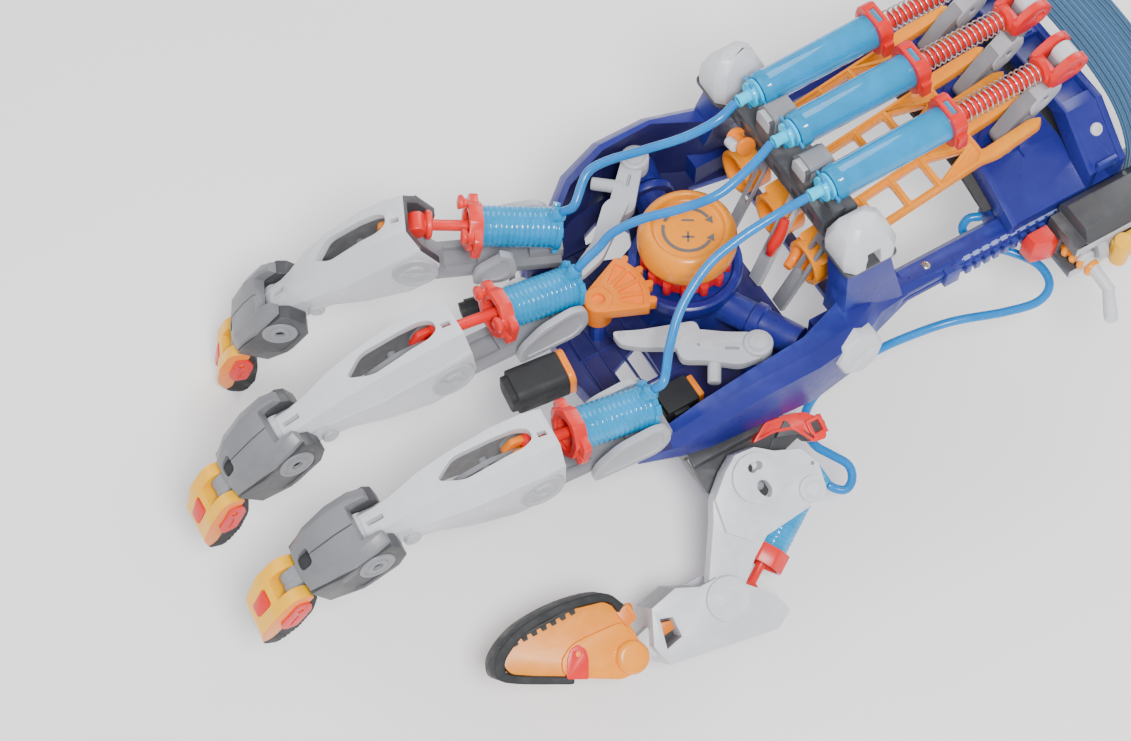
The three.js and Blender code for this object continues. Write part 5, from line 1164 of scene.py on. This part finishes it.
# ------------------------------------------------------------------ thumb master unit on the near rail
unit = skin("thumb_unit", DARK, 1.5, 3, slot="dark")
paint(unit, WHITE2, lambda c, nn: c.y < -84.2 and nn.y < -0.35 and c.z < 11 or c.z < -9 and c.y < -84)
piece("unit_housing", "thumb_unit", WHITE2, [px(outline([(-92.4, -13), (-84, -13.4), (-84, -4.6), (-92.6, -4.6)], 1, 3), 122.6, 166.4), px(outline([(-92.6, 6.5), (-84, 6.5), (-79, 12.6), (-84, 15.6), (-92.6, 11.4)], 1.6, 3), 121, 166.6), box(122.6, 128, -92.4, -86, -13, 11.5), lathe((122.4, -89, -1), (117.6, -89, -1), [(0, 6.6), (3.6, 6.6), (4.8, 5.6)], 44)], (), 0.6, 3, slot="grey")
piece("unit_slot", "thumb_unit", DARK, [px(outline([(-93.0, 8.4), (-91, 8.4), (-86.4, 12.6), (-88.4, 13.9)], 0.6, 2), 136, 150)], (), 0.4, 2, slot="dark")
piece("unit_knurl", "thumb_unit", GOLD, [lathe((108.6, -79.8, -4), (112.4, -99.6, -3.4), [(0, 2.4)] + [q for k in range(4) for q in ((0.8 + k * 4.9, 2.6), (1.4 + k * 4.9, 4.2), (2.6 + k * 4.9, 4.6), (4.0 + k * 4.9, 4.2), (4.6 + k * 4.9, 2.6))] + [(20.4, 2.2)], 32)], (), 0, slot="orange", merge=False, sharp=60)
piece("unit_knurl_tip", "thumb_unit", BLACK, [lathe((112.4, -99.6, -3.4), (112.9, -102.4, -3.3), [(0, 2.6), (2.0, 2.6), (2.6, 2.0)], 24)], (), 0.2, 1, slot="black")
piece("unit_arrow", "thumb_unit", BLACK, [pz([(144, -79), (148.5, -81.5), (144, -84)], 19.6, 20.3)], (), 0.1, 1, slot="black")
lat = outline([(88, -71), (88.6, -79), (99, -82), (103.6, -80), (103.6, -71)], 1, 3)
piece("latch_wedge", "thumb_latch", RED, [loft([[(x, y, z) for x, y in lat] for z in (-5, 4)] + [[(95 + (x - 95) * 0.72, -74 + (y + 74) * 0.8, 9) for x, y in lat]])], (), 0.8, 3, slot="red", replaces="thumb_latch")
piece("trigger_arm", "thumb_trigger", YELLOW, [pz(outline([(124, -92.6), (166, -92.6), (176, -104), (172, -112), (160, -104), (124, -100)], 2.5, 4), -3, 5), lathe((128, -97.4, -8), (128, -97.4, 9), [(0, 4.0), (0.6, 4.6), (16.4, 4.6), (17, 4.0)], 36)], [box(134, 156, -101, -95, 3.6, 6)], 0.8, 3, slot="yellow", replaces="thumb_trigger")
piece("pin_lever", "thumb_unit", WHITE, [lathe((112, -92.6, -2.1), (112, -112, -4), [(0, 3.6), (2.2, 3.6), (2.6, 3.0), (19.4, 3.0)], 36), lathe((112, -110, -4), (103.4, -124.6, -6.1), [(0, 2.7), (2, 2.9), (12, 3.4), (16, 3.3), (17, 2.4)], 32)], (), 0.4, 2, slot="white", replaces="thumb_pin_lever")
piece("pin_lever_root", "thumb_unit", WHITE, [lathe((112, -90.4, -2), (112, -93, -2.1), [(0, 4.6), (1.8, 4.6), (2.5, 4.0)], 32)], (), 0.3, 2, slot="white")
#@@DETAIL_END@@
for _node, _o in frame["nodes"].items():
    if _o.hide_render:
        continue
    if _node in SKIN:
        _mat, _bev, _slot = SKIN[_node]
    else:
        _mat, _bev, _slot = {"master_c": (CLEAR, 0.3, "clear"), "master_r": (RED, 0.4, "red"), "spring_i": (STEEL, 0, "steel"), "spring_m": (STEEL, 0, "steel"), "spring_r": (STEEL, 0, "steel"), "lever_in": (GREY, 0.6, "grey"), "lever_mi": (GREY, 0.6, "grey"), "lever_ri": (GREY, 0.6, "grey"), "pull_bar": (ORANGE, 0.5, "orange")}[_node[:8]]
    skin(_node, _mat, _bev, slot=_slot)

# ------------------------------------------------------------------ floor and light
lo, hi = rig.bounds()
zf = min(lo[2], CAD_BOUNDS[0][2]) - 0.0006
me = bpy.data.meshes.new("floor")
bm = bmesh.new()
N = 48
prof = [(-2.2, 0), (1.4, 0)] + [(1.4 + 1.2 * math.sin(a), 1.2 - 1.2 * math.cos(a)) for a in [i * math.pi / 2 / 24 for i in range(1, 25)]] + [(2.6, 3.4)]
rows = [[bm.verts.new((x, y, zf + z)) for x in (-3.2, 3.2)] for y, z in prof]
for a, b in zip(rows, rows[1:]):
    bm.faces.new((a[0], a[1], b[1], b[0]))
bm.to_mesh(me)
bm.free()
for p in me.polygons:
    p.use_smooth = True
floor = bpy.data.objects.new("floor", me)
bpy.context.scene.collection.objects.link(floor)
fm, fnt, fb = _nodes("floor_paper")
fco = fnt.nodes.new("ShaderNodeTexCoord").outputs["Object"]
fnt.links.new(ramp(fnt, noise_tex(fnt, 3, 3, 0.5, fco), 0.3, 0.7, (0.93, 0.93, 0.935), (0.96, 0.96, 0.965)), fb.inputs["Base Color"])
fb.inputs["Roughness"].default_value = 0.8
me.materials.append(fm)
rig.stage(floor)


def area(name, loc, target, size, energy, col=(1, 1, 1)):
    l = bpy.data.lights.new(name, "AREA")
    l.shape, l.size, l.energy, l.color = "DISK", size, energy, col
    o = bpy.data.objects.new(name, l)
    bpy.context.scene.collection.objects.link(o)
    o.location = loc
    o.rotation_euler = (Vector(target) - Vector(loc)).to_track_quat("-Z", "Y").to_euler()
    return o


area("key", (-0.35, -0.75, 1.30), (-0.02, 0, 0), 0.42, 30)
area("fill", (-0.9, 0.7, 1.0), (-0.02, 0, 0), 1.1, 6)
area("rim", (0.9, 0.5, 0.7), (0, 0, 0), 0.7, 7)
w = bpy.data.worlds.new("studio")
w.use_nodes = True
bpy.context.scene.world = w
bg = w.node_tree.nodes["Background"]
bg.inputs[0].default_value = (1, 1, 1, 1)
bg.inputs[1].default_value = 0.72

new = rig.bounds()
json.dump({"cad": [list(map(float, v)) for v in CAD_BOUNDS], "visual": [list(map(float, v)) for v in new]}, open("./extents.json", "w"))
